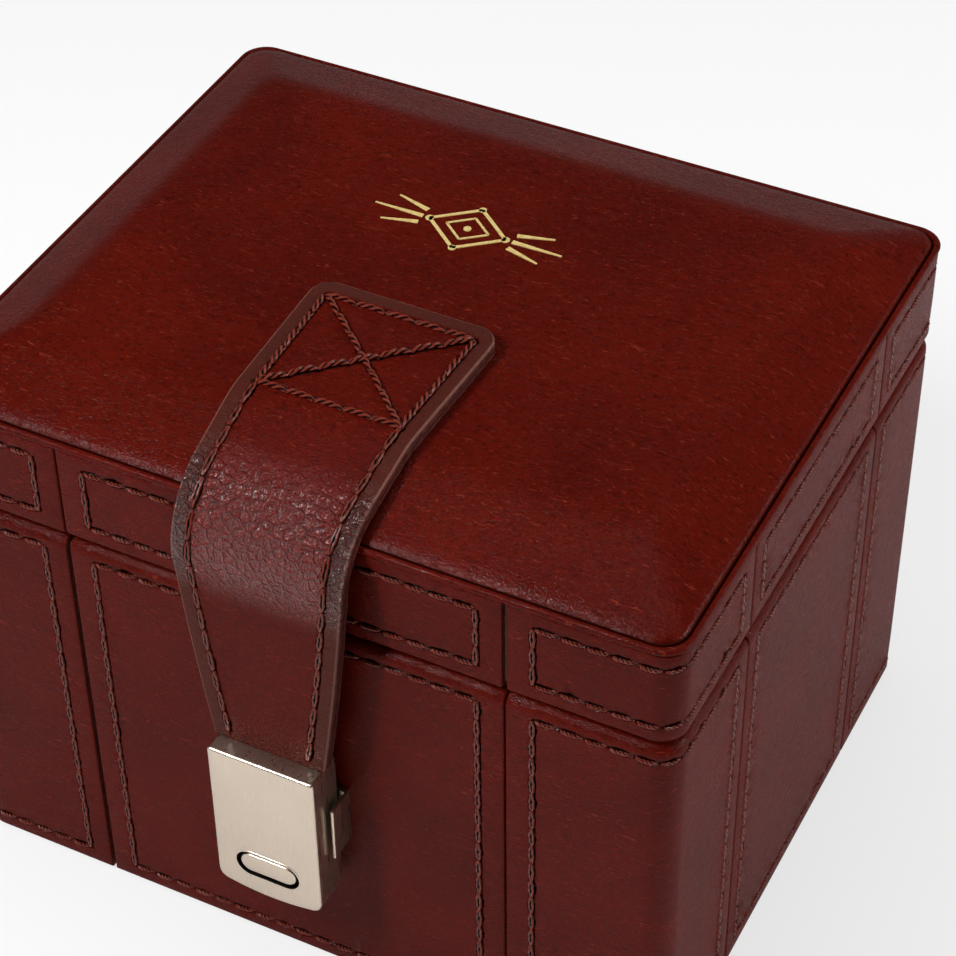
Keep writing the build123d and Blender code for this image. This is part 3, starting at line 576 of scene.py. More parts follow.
def new_piece(name: str, points: np.ndarray, polygons: Iterable, materials: list[bpy.types.Material],
              choice: list[int] | None = None) -> bpy.types.Object:
    """Make a mesh object from points and polygons.

    Args:
        name: The piece's name.
        points: Its vertices, one row each.
        polygons: Vertex numbers of each face.
        materials: The finishes it uses.
        choice: Which of them each face has.

    Returns:
        The new object, in the scene.
    """
    mesh = bpy.data.meshes.new(name)
    mesh.from_pydata([tuple(p) for p in np.asarray(points, float).tolist()], [], list(polygons))
    for material in materials:
        mesh.materials.append(material)
    if choice is not None:
        mesh.polygons.foreach_set("material_index", choice)
    mesh.polygons.foreach_set("use_smooth", [True] * len(mesh.polygons))
    mesh.set_sharp_from_angle(angle=SHARP_EDGE)
    mesh.update()
    piece = bpy.data.objects.new(name, mesh)
    bpy.context.scene.collection.objects.link(piece)
    return piece


def apart(places: Iterable[float]) -> list[float]:
    """Places in order, without those that all but coincide."""
    ordered = sorted(places)
    return [p for i, p in enumerate(ordered) if i == 0 or p - ordered[i - 1] > TOUCH]


def mark(piece: bpy.types.Object, name: str, rows: np.ndarray) -> None:
    """Write a vector on every vertex under a name that the finishes read."""
    layer = piece.data.attributes.new(name, "FLOAT_VECTOR", "POINT")
    layer.data.foreach_set("vector", np.asarray(rows, np.float32).ravel())


@dataclass(frozen=True)
class Track:
    """A smooth line of straight runs and round turns in a plane, with a side to lie on.

    Each knot holds the centre that the line turns about, the radius there and the angle of the
    line's outward normal in degrees. Two knots with one angle make a run, others make a turn.
    """

    knots: tuple[tuple[float, float, float, float], ...]

    @staticmethod
    def through(corners: list[tuple[float, float]], radii: list[float]) -> "Track":
        """Round a line's corners. The outward side is on the right of the line.

        Args:
            corners: Points of the line.
            radii: Radius at each inner corner, on the line itself.

        Returns:
            The rounded line.
        """
        points = [np.array(p) for p in corners]
        ways = [(b - a) / np.linalg.norm(b - a) for a, b in zip(points, points[1:])]
        normals = [np.array((w[1], -w[0])) for w in ways]
        angles = [math.degrees(math.atan2(n[1], n[0])) % 360 for n in normals]
        knots = [(*(points[0] - radii[0] * normals[0]), radii[0], angles[0])]
        for i, radius in enumerate(radii):
            bend = math.acos(float(np.clip(ways[i] @ ways[i + 1], -1, 1)))
            tangent = points[i + 1] - ways[i] * radius * math.tan(bend / 2)
            centre = tangent - radius * normals[i]
            knots += [(*centre, radius, angles[i]), (*centre, radius, angles[i + 1])]
        knots.append((*(points[-1] - radii[-1] * normals[-1]), radii[-1], angles[-1]))
        return Track(tuple(knots))

    def lengths(self) -> np.ndarray:
        """Distance along the line at each knot.

        Returns:
            One distance for each knot.
        """
        x, y, radius, angle = np.array(self.knots).T
        a = np.radians(angle)
        runs = np.hypot(np.diff(x + radius * np.cos(a)), np.diff(y + radius * np.sin(a)))
        turns = np.abs(np.diff(a)) * radius[1:]
        steps = np.where(np.abs(np.diff(a)) > 1e-9, turns, runs)
        return np.concatenate([[0.0], np.cumsum(steps)])

    def course(self, t: np.ndarray) -> list[np.ndarray]:
        """The centre, radius and angle of the line at each distance along it."""
        return [np.interp(t, self.lengths(), column) for column in np.array(self.knots).T]

    def at(self, t: np.ndarray, lift: np.ndarray) -> tuple[np.ndarray, np.ndarray]:
        """Points of the line.

        Args:
            t: Distances along it.
            lift: How far outside it each point lies.

        Returns:
            The two coordinates of the points.
        """
        x, y, radius, angle = self.course(t)
        a = np.radians(angle)
        return x + (radius + lift) * np.cos(a), y + (radius + lift) * np.sin(a)

    def bends(self, step: float) -> list[float]:
        """Distances that the round turns need, a given number of degrees apart.

        Args:
            step: Degrees between two places.

        Returns:
            The distances.
        """
        places: list[float] = []
        lengths = self.lengths()
        for i, (a, b) in enumerate(zip(self.knots, self.knots[1:])):
            parts = max(1, math.ceil(abs(b[3] - a[3]) / step))
            places += list(np.linspace(lengths[i], lengths[i + 1], parts + 1))
        return places


@dataclass(frozen=True)
class Plan:
    """A rounded rectangle seen from above. It runs from the middle of the front to the right."""

    half_x: float
    half_y: float
    corner: float

    def track(self) -> Track:
        """The outline as a line with four quarter turns.

        Returns:
            The rounded line.
        """
        a, b, r = self.half_x - self.corner, self.half_y - self.corner, self.corner
        spots = [(0, -b, -90), (a, -b, -90), (a, -b, 0), (a, b, 0), (a, b, 90),
                 (-a, b, 90), (-a, b, 180), (-a, -b, 180), (-a, -b, 270), (0, -b, 270)]
        return Track(tuple((x, y, r, angle) for x, y, angle in spots))

    def front(self, x: float) -> float:
        """Distance round the outline to a place on the front."""
        return x

    def right(self, y: float) -> float:
        """Distance round the outline to a place on the right side."""
        return self.half_x - self.corner + self.corner * math.pi / 2 + self.half_y - self.corner + y

    def back(self, x: float) -> float:
        """Distance round the outline to a place on the back."""
        corner = self.right(self.half_y - self.corner)
        return corner + self.corner * math.pi / 2 + self.half_x - self.corner - x

    def left(self, y: float) -> float:
        """Distance round the outline, the other way, to a place on the left side."""
        return -self.right(y)

    def round(self) -> float:
        """Length of the whole outline."""
        return float(self.track().lengths()[-1])

    def at(self, s: np.ndarray, out: np.ndarray) -> tuple[np.ndarray, np.ndarray]:
        """Points round the outline.

        Args:
            s: Distances round it.
            out: How far outside it each point lies; inside is negative.

        Returns:
            X and Y of the points.
        """
        x, y, radius, angle = self.track().course(s % self.round())
        inner = np.minimum(out, -self.corner)
        x = np.clip(x, -self.half_x - inner, self.half_x + inner)
        y = np.clip(y, -self.half_y - inner, self.half_y + inner)
        reach = np.maximum(radius + out, 0.0)
        a = np.radians(angle)
        return x + reach * np.cos(a), y + reach * np.sin(a)


@dataclass(frozen=True)
class Wall:
    """The covered wall of the body or the lid: an upright outline carried round a plan."""

    plan: Plan
    outline: Track

    def at(self, s: np.ndarray, t: np.ndarray, h: np.ndarray) -> np.ndarray:
        """Points at a distance round, a distance up the outline and a height off the leather.

        Args:
            s: Distances round the wall.
            t: Distances up the outline.
            h: Heights off the leather.

        Returns:
            One row for each point.
        """
        out, z = self.outline.at(t, h)
        x, y = self.plan.at(s, out)
        return np.stack([x, y, z], -1)


@dataclass(frozen=True)
class Panel:
    """A flat upright face that looks to the left, such as a drawer front."""

    face_x: float

    def at(self, s: np.ndarray, t: np.ndarray, h: np.ndarray) -> np.ndarray:
        """Points at Y minus s, height t and a height off the leather."""
        return np.stack([self.face_x - h, -s, t], -1)


@dataclass(frozen=True)
class Pucker:
    """The leather round a sunk stitch: a lens-shaped hole between raised lips, with painted shade in the hole
    and beside it.
    """

    shift: float
    swell: float
    sink: float
    knotted: bool
    tip: float = 0.00026
    tip_depth: float = 0.00045
    lip: float = 0.00030
    lip_height: float = 0.00012
    soft: float = 0.0012
    soft_depth: float = 0.00018
    # Painted shade beside the hole: its width and its strength.
    painted_shade_width: float = 0.0013
    painted_shade: float = 0.34
    knot: float = 0.00070
    widths: Span = (0.85, 1.15)
    depths: Span = (0.80, 1.15)
    leans: Span = (-0.00012, 0.00012)
    slack: float = 0.02

    def draw(self, arch: np.ndarray, off: np.ndarray, from_end: np.ndarray, wide: np.ndarray,
             deep: np.ndarray) -> tuple[np.ndarray, np.ndarray]:
        """Height of the leather, and the share of painted shade in and beside the hole.

        Args:
            arch: 0 at the ends of the stitch and 1 in its middle.
            off: Distance beside the hole's own line.
            from_end: Distance along the row from the nearest end of a stitch.
            wide: Width of the hole as a share of the usual one.
            deep: Depth of the hole as a share of the usual one.

        Returns:
            The height in metres, and the share from 0 to 1.
        """
        half = (self.tip + self.swell * arch ** 0.8) * wide
        hollow = np.sqrt(np.clip(1 - (off / half) ** 2, 0, 1))
        if self.knotted:
            hollow = np.maximum(hollow, np.exp(-(from_end ** 2 + off ** 2) / self.knot ** 2))
        lip = np.exp(-((np.abs(off) - half) / self.lip) ** 2) * (0.3 + 0.7 * arch)
        soft = np.exp(-(off / self.soft) ** 2)
        depth = (self.tip_depth + self.sink * arch) * deep
        # Painted shade beside the hole, spreading past its lips.
        painted_shade = self.painted_shade * np.exp(-(off / self.painted_shade_width) ** 2)
        return self.lip_height * lip - hollow * depth - self.soft_depth * soft, np.maximum(hollow, painted_shade)


@dataclass(frozen=True)
class Press:
    """The leather under raised thread: a pit at each end of a stitch, and a pressed line between, both with
    painted shade.
    """

    pit: float = 0.00075
    pit_depth: float = 0.00080
    # Painted shade in each pit.
    pit_painted_shade: float = 1.3
    line: float = 0.00078
    line_shift: float = -0.0003
    line_depth: float = 0.00022
    # Painted shade along the pressed line.
    line_painted_shade: float = 0.85
    slack: float = 0.0004

    def draw(self, from_end: np.ndarray, off: np.ndarray,
             within: np.ndarray) -> tuple[np.ndarray, np.ndarray]:
        """Height of the leather, and how far each place is inside a pit.

        Args:
            from_end: Distance along the row from the nearest end of a stitch.
            off: Distance beside the row.
            within: Whether each place is between the ends of the row.

        Returns:
            The height in metres, and the share of painted shade from 0 to 1.
        """
        pit = np.exp(-(from_end ** 2 + off ** 2) / self.pit ** 2)
        pressed = np.exp(-((off - self.line_shift) / self.line) ** 2) * within
        height = -self.pit_depth * pit - self.line_depth * pressed
        # Painted shade in the pits and along the pressed line.
        return height, np.clip(self.pit_painted_shade * pit + self.line_painted_shade * pressed, 0, 1)


UPRIGHT_PUCKER = Pucker(shift=-0.00012, swell=0.00066, sink=0.00100, knotted=True)
LEVEL_PUCKER = Pucker(shift=0.00018, swell=0.00088, sink=0.00060, knotted=False)
PRESS = Press()


@dataclass(frozen=True)
class Row:
    """A straight row of stitches between two places on a sheet."""

    start: Spot
    stop: Spot
    pitch: float = 0.0060
    seed: int = 0
    raised: bool = False

    def length(self) -> float:
        """Length of the row."""
        return math.dist(self.start, self.stop)

    def count(self) -> int:
        """How many stitches fill the row."""
        return max(1, round(self.length() / self.pitch))

    def step(self) -> float:
        """Length of one stitch."""
        return self.length() / self.count()

    def axis(self) -> Axis:
        """Which way the row runs.

        Returns:
            The direction.
        """
        if self.start[1] == self.stop[1]:
            return Axis.ALONG
        return Axis.ACROSS if self.start[0] == self.stop[0] else Axis.SLANTING

    def relief(self, s: np.ndarray, t: np.ndarray) -> tuple[np.ndarray, np.ndarray]:
        """The leather drawn in by the stitches.

        Args:
            s: Places along the sheet.
            t: Places across it.

        Returns:
            Height of the leather, and the share of painted shade at its holes, 0 to 1.
        """
        way = (np.array(self.stop) - np.array(self.start)) / self.length()
        run = (s - self.start[0]) * way[0] + (t - self.start[1]) * way[1]
        off = (t - self.start[1]) * way[0] - (s - self.start[0]) * way[1]
        return self.pits(run, off) if self.raised else self.lenses(run, off)

    def lenses(self, run: np.ndarray, off: np.ndarray) -> tuple[np.ndarray, np.ndarray]:
        """The leather where the thread is sunk between raised lips.

        Args:
            run: Distance along the row.
            off: Distance beside it.

        Returns:
            Height of the leather, and the share of painted shade in and beside each hole.
        """
        pucker = UPRIGHT_PUCKER if self.axis() is Axis.ACROSS else LEVEL_PUCKER
        along = run / self.step()
        number = np.clip(np.floor(along), 0, self.count() - 1).astype(int)
        chance = np.random.default_rng(SEED + self.seed)
        spans = (pucker.widths, pucker.depths, pucker.leans)
        wide, deep, lean = [chance.uniform(*span, self.count())[number] for span in spans]
        arch = np.sin(np.pi * np.clip(along - number, 0, 1))
        from_end = (along - np.round(along)) * self.step()
        height, holes = pucker.draw(arch, off - lean * arch - pucker.shift, from_end, wide, deep)
        inside = (along > -pucker.slack) & (along < self.count() + pucker.slack)
        return height * inside, holes * inside

    def pits(self, run: np.ndarray, off: np.ndarray) -> tuple[np.ndarray, np.ndarray]:
        """The leather where the thread lies on top, with a pit at each end of a stitch.

        Args:
            run: Distance along the row.
            off: Distance beside it.

        Returns:
            Height of the leather, and the share of painted shade in the pits and along the pressed line.
        """
        nearest = np.clip(np.round(run / self.step()), 0, self.count()) * self.step()
        within = (run > -PRESS.slack) & (run < self.length() + PRESS.slack)
        return PRESS.draw(run - nearest, off, within)


@dataclass
class Sheet:
    """A leather panel on a surface, cut to a rectangle, with sunken rows of stitches.

    It is meshed finely only in the bands of the rows. Between them, long faces take in the
    vertices of the bands on their borders, so the sheet is closed.
    """

    name: str
    surface: Surface
    low: Spot
    high: Spot
    rows: list[Row] = field(default_factory=list)
    bends: tuple[list[float], list[float]] = field(default_factory=lambda: ([], []))
    mouth: tuple[float, float, float, float] | None = None
    thickness: float = 0.0016
    edge: float = 0.0006
    band: float = 0.0014
    fine: float = 0.00060
    coarse: float = 0.0060
    cross: tuple[float, ...] = (0.12, 0.26, 0.40, 0.56, 0.76, 1.0)
    edge_steps: tuple[float, ...] = (0.15, 0.45, 1.0)
    margin: float = 1e-4
    areas: list[tuple[float, float, float, float]] = field(default_factory=list)
    bend: Callable[[np.ndarray], np.ndarray] = np.zeros_like

    def stops(self, axis: int) -> list[float]:
        """Where one direction of the sheet is divided: ends, bands and the mouth's sides.

        Args:
            axis: 0 along the sheet, 1 across it.

        Returns:
            The places in order.
        """
        places = {self.low[axis], self.high[axis]}
        for row in self.rows:
            if row.axis() is not Axis.SLANTING:
                places |= {end[axis] + way * self.band for end in (row.start, row.stop) for way in (-1, 1)}
        if self.mouth:
            places |= set(self.mouth[2 * axis:2 * axis + 2])
        return apart(p for p in places if self.low[axis] <= p <= self.high[axis])

    def free(self, axis: int) -> list[float]:
        """Cut edges of the sheet in one direction."""
        return [self.low[axis], self.high[axis], *(self.mouth[2 * axis:2 * axis + 2] if self.mouth else ())]

    def stretch_lines(self, axis: int, a: float, b: float) -> list[float]:
        """Widely spaced lines from a to b, closer at cut edges and where the surface turns.

        Args:
            axis: 0 along the sheet, 1 across it.
            a: Where the stretch starts.
            b: Where it stops.

        Returns:
            The lines in order.
        """
        places = {a, b} | {p for p in self.bends[axis] if a + self.margin < p < b - self.margin}
        for cut in self.free(axis):
            places |= {cut + k * share * self.edge for share in self.edge_steps for k in (-1, 1)}
        return self.divided(apart(p for p in places if a <= p <= b), self.coarse)

    @staticmethod
    def divided(lines: list[float], step: float) -> list[float]:
        """The same lines, with more between them so that none are further apart than a step.

        Args:
            lines: The lines in order.
            step: The widest gap allowed.

        Returns:
            All the lines in order.
        """
        dense = [lines[0]]
        for start, stop in zip(lines, lines[1:]):
            parts = max(1, math.ceil((stop - start) / step))
            dense += list(np.linspace(start, stop, parts + 1)[1:])
        return dense

    def cross_lines(self, a: float, b: float) -> list[float]:
        """Lines across a band, closest in its middle."""
        shares = [*(-share for share in reversed(self.cross)), 0.0, *self.cross]
        return [(a + b) / 2 + share * (b - a) / 2 for share in shares]

    def bands(self, axis: Axis, s: tuple[float, float], t: tuple[float, float]) -> bool:
        """Whether a patch lies in the band of a row with the given direction.

        Args:
            axis: Direction of the row.
            s: Both sides of the patch along the sheet.
            t: Both sides across it.

        Returns:
            True where the patch lies in a band.
        """
        i, across, run = (1, t, s) if axis is Axis.ALONG else (0, s, t)
        return any(
            row.axis() is axis and abs(sum(across) / 2 - row.start[i]) < TOUCH
            and row.start[1 - i] - self.band - TOUCH <= run[0]
            and run[1] <= row.stop[1 - i] + self.band + TOUCH
            for row in self.rows
        )

    def in_area(self, s: float, t: float) -> bool:
        """Whether a place is to be meshed finely all over."""
        return any(a[0] < s < a[1] and a[2] < t < a[3] for a in self.areas)

    def in_mouth(self, s: float, t: float) -> bool:
        """Whether a place is cut away."""
        return bool(self.mouth) and self.mouth[0] < s < self.mouth[1] and self.mouth[2] < t < self.mouth[3]

    def patches(self) -> list[tuple[list[float], list[float], bool]]:
        """Lines of every patch, and whether it is a fine one.

        Returns:
            Lines along, lines across and fineness of each patch.
        """
        patches = []
        s_stops, t_stops = self.stops(0), self.stops(1)
        for s in zip(s_stops, s_stops[1:]):
            s_lines = self.stretch_lines(0, *s)
            for t in zip(t_stops, t_stops[1:]):
                if self.in_mouth(sum(s) / 2, sum(t) / 2):
                    continue
                t_lines = self.stretch_lines(1, *t)
                along, across = self.bands(Axis.ALONG, s, t), self.bands(Axis.ACROSS, s, t)
                fine = along or across or self.in_area(sum(s) / 2, sum(t) / 2)
                dense_s, dense_t = [self.divided(x, self.fine) if fine else x for x in (s_lines, t_lines)]
                patch_s = self.cross_lines(*s) if across else dense_s
                patch_t = self.cross_lines(*t) if along else dense_t
                patches.append((patch_s, patch_t, fine))
        return patches

    def front(self) -> Skin:
        """The upper face: places on the sheet, and polygons over them.

        Returns:
            Places along and across the sheet, and vertex numbers of each polygon.
        """
        patches = [([round(v * SNAP) for v in s], [round(v * SNAP) for v in t], fine)
                   for s, t, fine in self.patches()]
        nodes = dict.fromkeys((s, t) for s_lines, t_lines, _ in patches for s in s_lines for t in t_lines)
        numbers = {node: i for i, node in enumerate(nodes)}
        lines = self.lines_of(nodes)
        polygons: list[Face] = []
        for s_lines, t_lines, fine in patches:
            for s in zip(s_lines, s_lines[1:]):
                for t in zip(t_lines, t_lines[1:]):
                    corners = [(s[0], t[0]), (s[1], t[0]), (s[1], t[1]), (s[0], t[1])]
                    loop = corners if fine else self.round_cell(s, t, *lines)
                    polygons.append(tuple(numbers[node] for node in loop))
        return np.array(list(numbers), float) / SNAP, polygons

    @staticmethod
    def lines_of(nodes: Iterable[Node]) -> tuple[dict[int, list[int]], dict[int, list[int]]]:
        """The nodes by the lines they lie on.

        Args:
            nodes: The nodes.

        Returns:
            The nodes on each line across the sheet, and on each line along it, in order.
        """
        on_s: dict[int, list[int]] = {}
        on_t: dict[int, list[int]] = {}
        for s, t in sorted(nodes):
            on_s.setdefault(s, []).append(t)
            on_t.setdefault(t, []).append(s)
        return on_s, on_t

    @staticmethod
    def round_cell(s: Node, t: Node, on_s: dict[int, list[int]], on_t: dict[int, list[int]]) -> list[Node]:
        """The nodes round a cell, with those that lie on its sides.

        Args:
            s: Its two lines across the sheet.
            t: Its two lines along the sheet.
            on_s: The nodes on each line across, in order.
            on_t: The nodes on each line along, in order.

        Returns:
            The nodes in order, seen from above.
        """
        def between(values: list[int], a: int, b: int) -> list[int]:
            """The values from a up to, and without, b."""
            return values[np.searchsorted(values, a):np.searchsorted(values, b)]

        loop = [(place, t[0]) for place in between(on_t[t[0]], *s)]
        loop += [(s[1], place) for place in between(on_s[s[1]], *t)]
        loop += [(place, t[1]) for place in reversed(between(on_t[t[1]], s[0] + 1, s[1] + 1))]
        return loop + [(s[0], place) for place in reversed(between(on_s[s[0]], t[0] + 1, t[1] + 1))]

    def underside(self, rim: set[Node]) -> list[list[Node]]:
        """Cells under the sheet, which bend with it and take in the nodes of its border.

        Args:
            rim: The nodes on the border.

        Returns:
            The nodes round each cell, seen from below.
        """
        lines = []
        for axis in (0, 1):
            places = {round(p * SNAP) for p in (*self.stops(axis), *self.bends[axis])}
            lines.append(sorted(places & {node[axis] for node in rim}))
        on_lines = self.lines_of(rim | {(s, t) for s in lines[0] for t in lines[1]})
        return [self.round_cell(s, t, *on_lines)[::-1]
                for s in zip(lines[0], lines[0][1:]) for t in zip(lines[1], lines[1][1:])
                if not self.in_mouth(sum(s) / 2 / SNAP, sum(t) / 2 / SNAP)]

    def cut_distance(self, s: np.ndarray, t: np.ndarray) -> np.ndarray:
        """Distance of each place from the nearest cut edge.

        Args:
            s: Places along the sheet.
            t: Places across it.

        Returns:
            The distances, not below 0.
        """
        edge = np.minimum.reduce([s - self.low[0], self.high[0] - s, t - self.low[1], self.high[1] - t])
        if self.mouth:
            s0, s1, t0, t1 = self.mouth
            edge = np.minimum(edge, np.maximum.reduce([s0 - s, s - s1, t0 - t, t - t1]))
        return np.maximum(edge, 0.0)

    def heights(self, s: np.ndarray, t: np.ndarray) -> tuple[np.ndarray, np.ndarray, np.ndarray]:
        """Height of the leather at each place, its distance from the cut, and the painted shade of its stitch
        holes.

        Args:
            s: Places along the sheet.
            t: Places across it.

        Returns:
            The height, the distance, and the share of painted shade at the holes.
        """
        cut = self.cut_distance(s, t)
        fall = np.clip(self.edge - cut, 0, self.edge)
        height = np.sqrt(self.edge ** 2 - fall ** 2) - self.edge
        holes = np.zeros_like(s)
        for row in self.rows:
            drawn, hollow = row.relief(s, t)
            height += drawn
            holes = np.maximum(holes, hollow)
        return height, cut, holes

    @staticmethod
    def border(polygons: list[Face], total: int) -> list[Node]:
        """The edges that only one polygon has, in its direction.

        Args:
            polygons: The polygons.
            total: Number of their vertices.

        Returns:
            Both vertices of each edge.
        """
        starts = np.concatenate(polygons)
        stops = np.concatenate([np.roll(p, -1) for p in polygons])
        keys = np.minimum(starts, stops) * total + np.maximum(starts, stops)
        _, index, counts = np.unique(keys, return_index=True, return_counts=True)
        return [(int(starts[i]), int(stops[i])) for i in index[counts == 1]]

    def build(self, face: bpy.types.Material, edge: bpy.types.Material) -> bpy.types.Object:
        """Mesh the sheet with its face, its cut edges and its flat underside.

        Args:
            face: Finish of the upper face.
            edge: Finish of the edges and the underside.

        Returns:
            The piece.
        """
        places, polygons = self.front()
        border = self.border(polygons, len(places))
        nodes = [tuple(node) for node in np.rint(places * SNAP).astype(int).tolist()]
        cells = self.underside({nodes[v] for pair in border for v in pair})
        used = dict.fromkeys(node for cell in cells for node in cell)
        lower = {node: len(places) + i for i, node in enumerate(used)}
        under = np.array(list(lower), float) / SNAP
        skirts = [(b, a, lower[nodes[a]], lower[nodes[b]]) for a, b in border]
        faces = [*polygons, *skirts, *(tuple(lower[n] for n in cell) for cell in cells)]
        choice = [0] * len(polygons) + [1] * (len(skirts) + len(cells))
        s, t = places.T
        height, cut, holes = self.heights(s, t)
        points = np.concatenate([self.surface(s, t, height),
                                 self.surface(*under.T, np.full(len(under), -self.thickness))])
        piece = new_piece(self.name, points, faces, [face, edge], choice)
        flat = np.zeros(len(under))
        s, t = np.concatenate([places, under]).T
        mark(piece, "lay", np.stack([s, t, 0 * s], -1))
        # wear: distance from the cut, bend, and the share of painted shade at the stitch holes.
        mark(piece, "wear", np.stack([np.append(cut, flat), self.bend(t), np.append(holes, flat)], -1))
        return piece


@dataclass(frozen=True)
class Thread:
    """Two twisted plies that follow a row of stitches."""

    ply: float = 0.00028
    spread: float = 0.00027
    twist: float = 0.0021
    rise: float = -0.00016
    dive: float = 0.0011
    slant: float = 0.00024
    shift: float = -0.00022
    bow: float = 0.0
    # Scale of how far each point faces away from the other ply, which sets the painted shade between the
    # plies.
    tone: float = 1.0
    reach: Span = (0.03, 0.97)
    leans: Span = (0.6, 1.5)
    uneven: Span = (-0.00008, 0.00008)
    phases: Span = (0.0, 6.28)
    rings: int = 12
    sides: int = 6

    def sew(self, surface: Surface, row: Row, seed: int) -> tuple[np.ndarray, np.ndarray, list[Face]]:
        """Lay the thread of one row.

        Args:
            surface: The surface that the leather lies on.
            row: Where the stitches go.
            seed: Number of the row, which sets how its stitches differ.

        Returns:
            Vertices, the place of each in the thread, and polygons.
        """
        run, off, lift = self.course(row, seed)
        way = (np.array(row.stop) - np.array(row.start)) / row.length()
        s = row.start[0] + way[0] * run - way[1] * off
        t = row.start[1] + way[1] * run + way[0] * off
        middle, above = (surface(s.ravel(), t.ravel(), lift.ravel() + more).reshape(*s.shape, 3)
                         for more in (0.0, self.ply / 2))
        points, outside = self.skin(middle, above)
        # lay's third part: how far each point faces away from the other ply, for the thread's painted shade.
        lay = np.stack(np.broadcast_arrays(run[..., None], self.ply * self.turns(), outside), -1)
        return points.reshape(-1, 3), lay.reshape(-1, 3), self.weave(row.count() * 2)

    def course(self, row: Row, seed: int) -> tuple[np.ndarray, np.ndarray, np.ndarray]:
        """The way that both plies take through each stitch.

        Args:
            row: Where the stitches go.
            seed: Number of the row.

        Returns:
            Distance along the row, beside it and over the leather, by stitch, ply and ring.
        """
        chance = np.random.default_rng(SEED + seed)
        stitches = (row.count(), 1, 1)
        share = np.linspace(*self.reach, self.rings)
        phase = np.array((0.0, math.pi))[None, :, None] + chance.uniform(*self.phases, stitches)
        angle = phase + 2 * math.pi * share * row.step() / self.twist
        arch = 1 - np.abs(2 * share - 1) ** 4
        swing = self.spread * (0.35 + 0.65 * arch)
        lean = chance.uniform(*self.leans, stitches) * self.slant
        run = (np.arange(row.count())[:, None, None] + share) * row.step() + 0 * angle
        bow = np.array((-1.0, 1.0))[None, :, None] * self.bow * np.sin(np.pi * share)
        off = self.shift + bow + lean * (2 * share - 1) + swing * np.cos(angle)
        lift = self.rise - self.dive * (1 - arch) + swing * np.sin(angle)
        return run, off, lift + chance.uniform(*self.uneven, stitches)

    def turns(self) -> np.ndarray:
        """Angles of the points round a ply."""
        return np.linspace(0, 2 * math.pi, self.sides, endpoint=False)

    def skin(self, middle: np.ndarray, above: np.ndarray) -> tuple[np.ndarray, np.ndarray]:
        """Rings of points round the plies.

        Args:
            middle: Points along the middle of each ply.
            above: Points a little further from the leather.

        Returns:
            The points, and how far each faces away from the other ply, 0 to 1, which sets the thread's
            painted shade.
        """
        ahead = np.gradient(middle, axis=2)
        ahead /= np.linalg.norm(ahead, axis=-1, keepdims=True)
        beside = np.cross(ahead, above - middle)
        beside /= np.linalg.norm(beside, axis=-1, keepdims=True)
        up = np.cross(beside, ahead)
        turns = self.turns()[:, None]
        ring = beside[..., None, :] * np.cos(turns) + up[..., None, :] * np.sin(turns)
        outward = middle - middle.mean(axis=1, keepdims=True)
        outward /= np.linalg.norm(outward, axis=-1, keepdims=True) + TOUCH
        # Painted shade share: low where the point faces the other ply.
        outside = self.tone * (0.5 + 0.5 * np.sum(ring * outward[..., None, :], axis=-1))
        return middle[..., None, :] + self.ply * ring, outside

    def weave(self, plies: int) -> list[Face]:
        """Polygons of closed tubes, one after another.

        Args:
            plies: How many tubes there are.

        Returns:
            Vertex numbers of each polygon.
        """
        size = self.rings * self.sides
        tube = []
        for ring in range(self.rings - 1):
            for side in range(self.sides):
                a, b = ring * self.sides + side, ring * self.sides + (side + 1) % self.sides
                tube.append((a, b, b + self.sides, a + self.sides))
        tube.append(tuple(reversed(range(self.sides))))
        tube.append(tuple(range(size - self.sides, size)))
        return [tuple(v + ply * size for v in face) for ply in range(plies) for face in tube]


FLAT_THREAD = Thread()
KNOTTED_THREAD = Thread(ply=0.00037, spread=0.00008, rise=-0.00014, dive=0.0002, slant=0.0001, shift=0.00014,
                        bow=0.00040, tone=1.1)
RAISED_THREAD = Thread(ply=0.00036, spread=0.00042, twist=0.0046, rise=0.00030, slant=0.0, shift=0.0,
                       rings=16)


def thread_for(row: Row) -> Thread:
    """The way the thread lies in a row: on top, in a groove, or drawn in between knots.

    Args:
        row: The row of stitches.

    Returns:
        The thread to use.
    """
    if row.raised:
        return RAISED_THREAD
    return KNOTTED_THREAD if row.axis() is Axis.ACROSS else FLAT_THREAD


class Stitching:
    """All the thread of one part, kept as one piece."""

    def __init__(self, name: str) -> None:
        """Start with no thread.

        Args:
            name: The piece's name.
        """
        self.name = name
        self.points: list[np.ndarray] = []
        self.lays: list[np.ndarray] = []
        self.polygons: list[Face] = []
        self.total = 0
        self.rows = 0

    def add(self, thread: Thread, surface: Surface, row: Row) -> None:
        """Sew one row.

        Args:
            thread: The thread used.
            surface: What it is sewn on.
            row: Where the stitches go.
        """
        self.rows += 1
        points, lay, polygons = thread.sew(surface, row, self.rows)
        self.points.append(points)
        self.lays.append(lay)
        self.polygons += [tuple(v + self.total for v in face) for face in polygons]
        self.total += len(points)

    def build(self, finish: bpy.types.Material) -> bpy.types.Object:
        """Make the piece.

        Args:
            finish: Finish of the thread.

        Returns:
            The piece.
        """
        piece = new_piece(self.name, np.concatenate(self.points), self.polygons, [finish])
        mark(piece, "lay", np.concatenate(self.lays))
        return piece


def loop_rows(s0: float, s1: float, t0: float, t1: float, seed: int) -> list[Row]:
    """Four rows of stitches round a rectangle.

    Args:
        s0: Low side along the sheet.
        s1: High side along the sheet.
        t0: Low side across it.
        t1: High side across it.
        seed: Number of the first row.

    Returns:
        The rows.
    """
    return [
        Row((s0, t0), (s1, t0), seed=seed), Row((s0, t1), (s1, t1), seed=seed + 1),
        Row((s0, t0), (s0, t1), seed=seed + 2), Row((s1, t0), (s1, t1), seed=seed + 3),
    ]


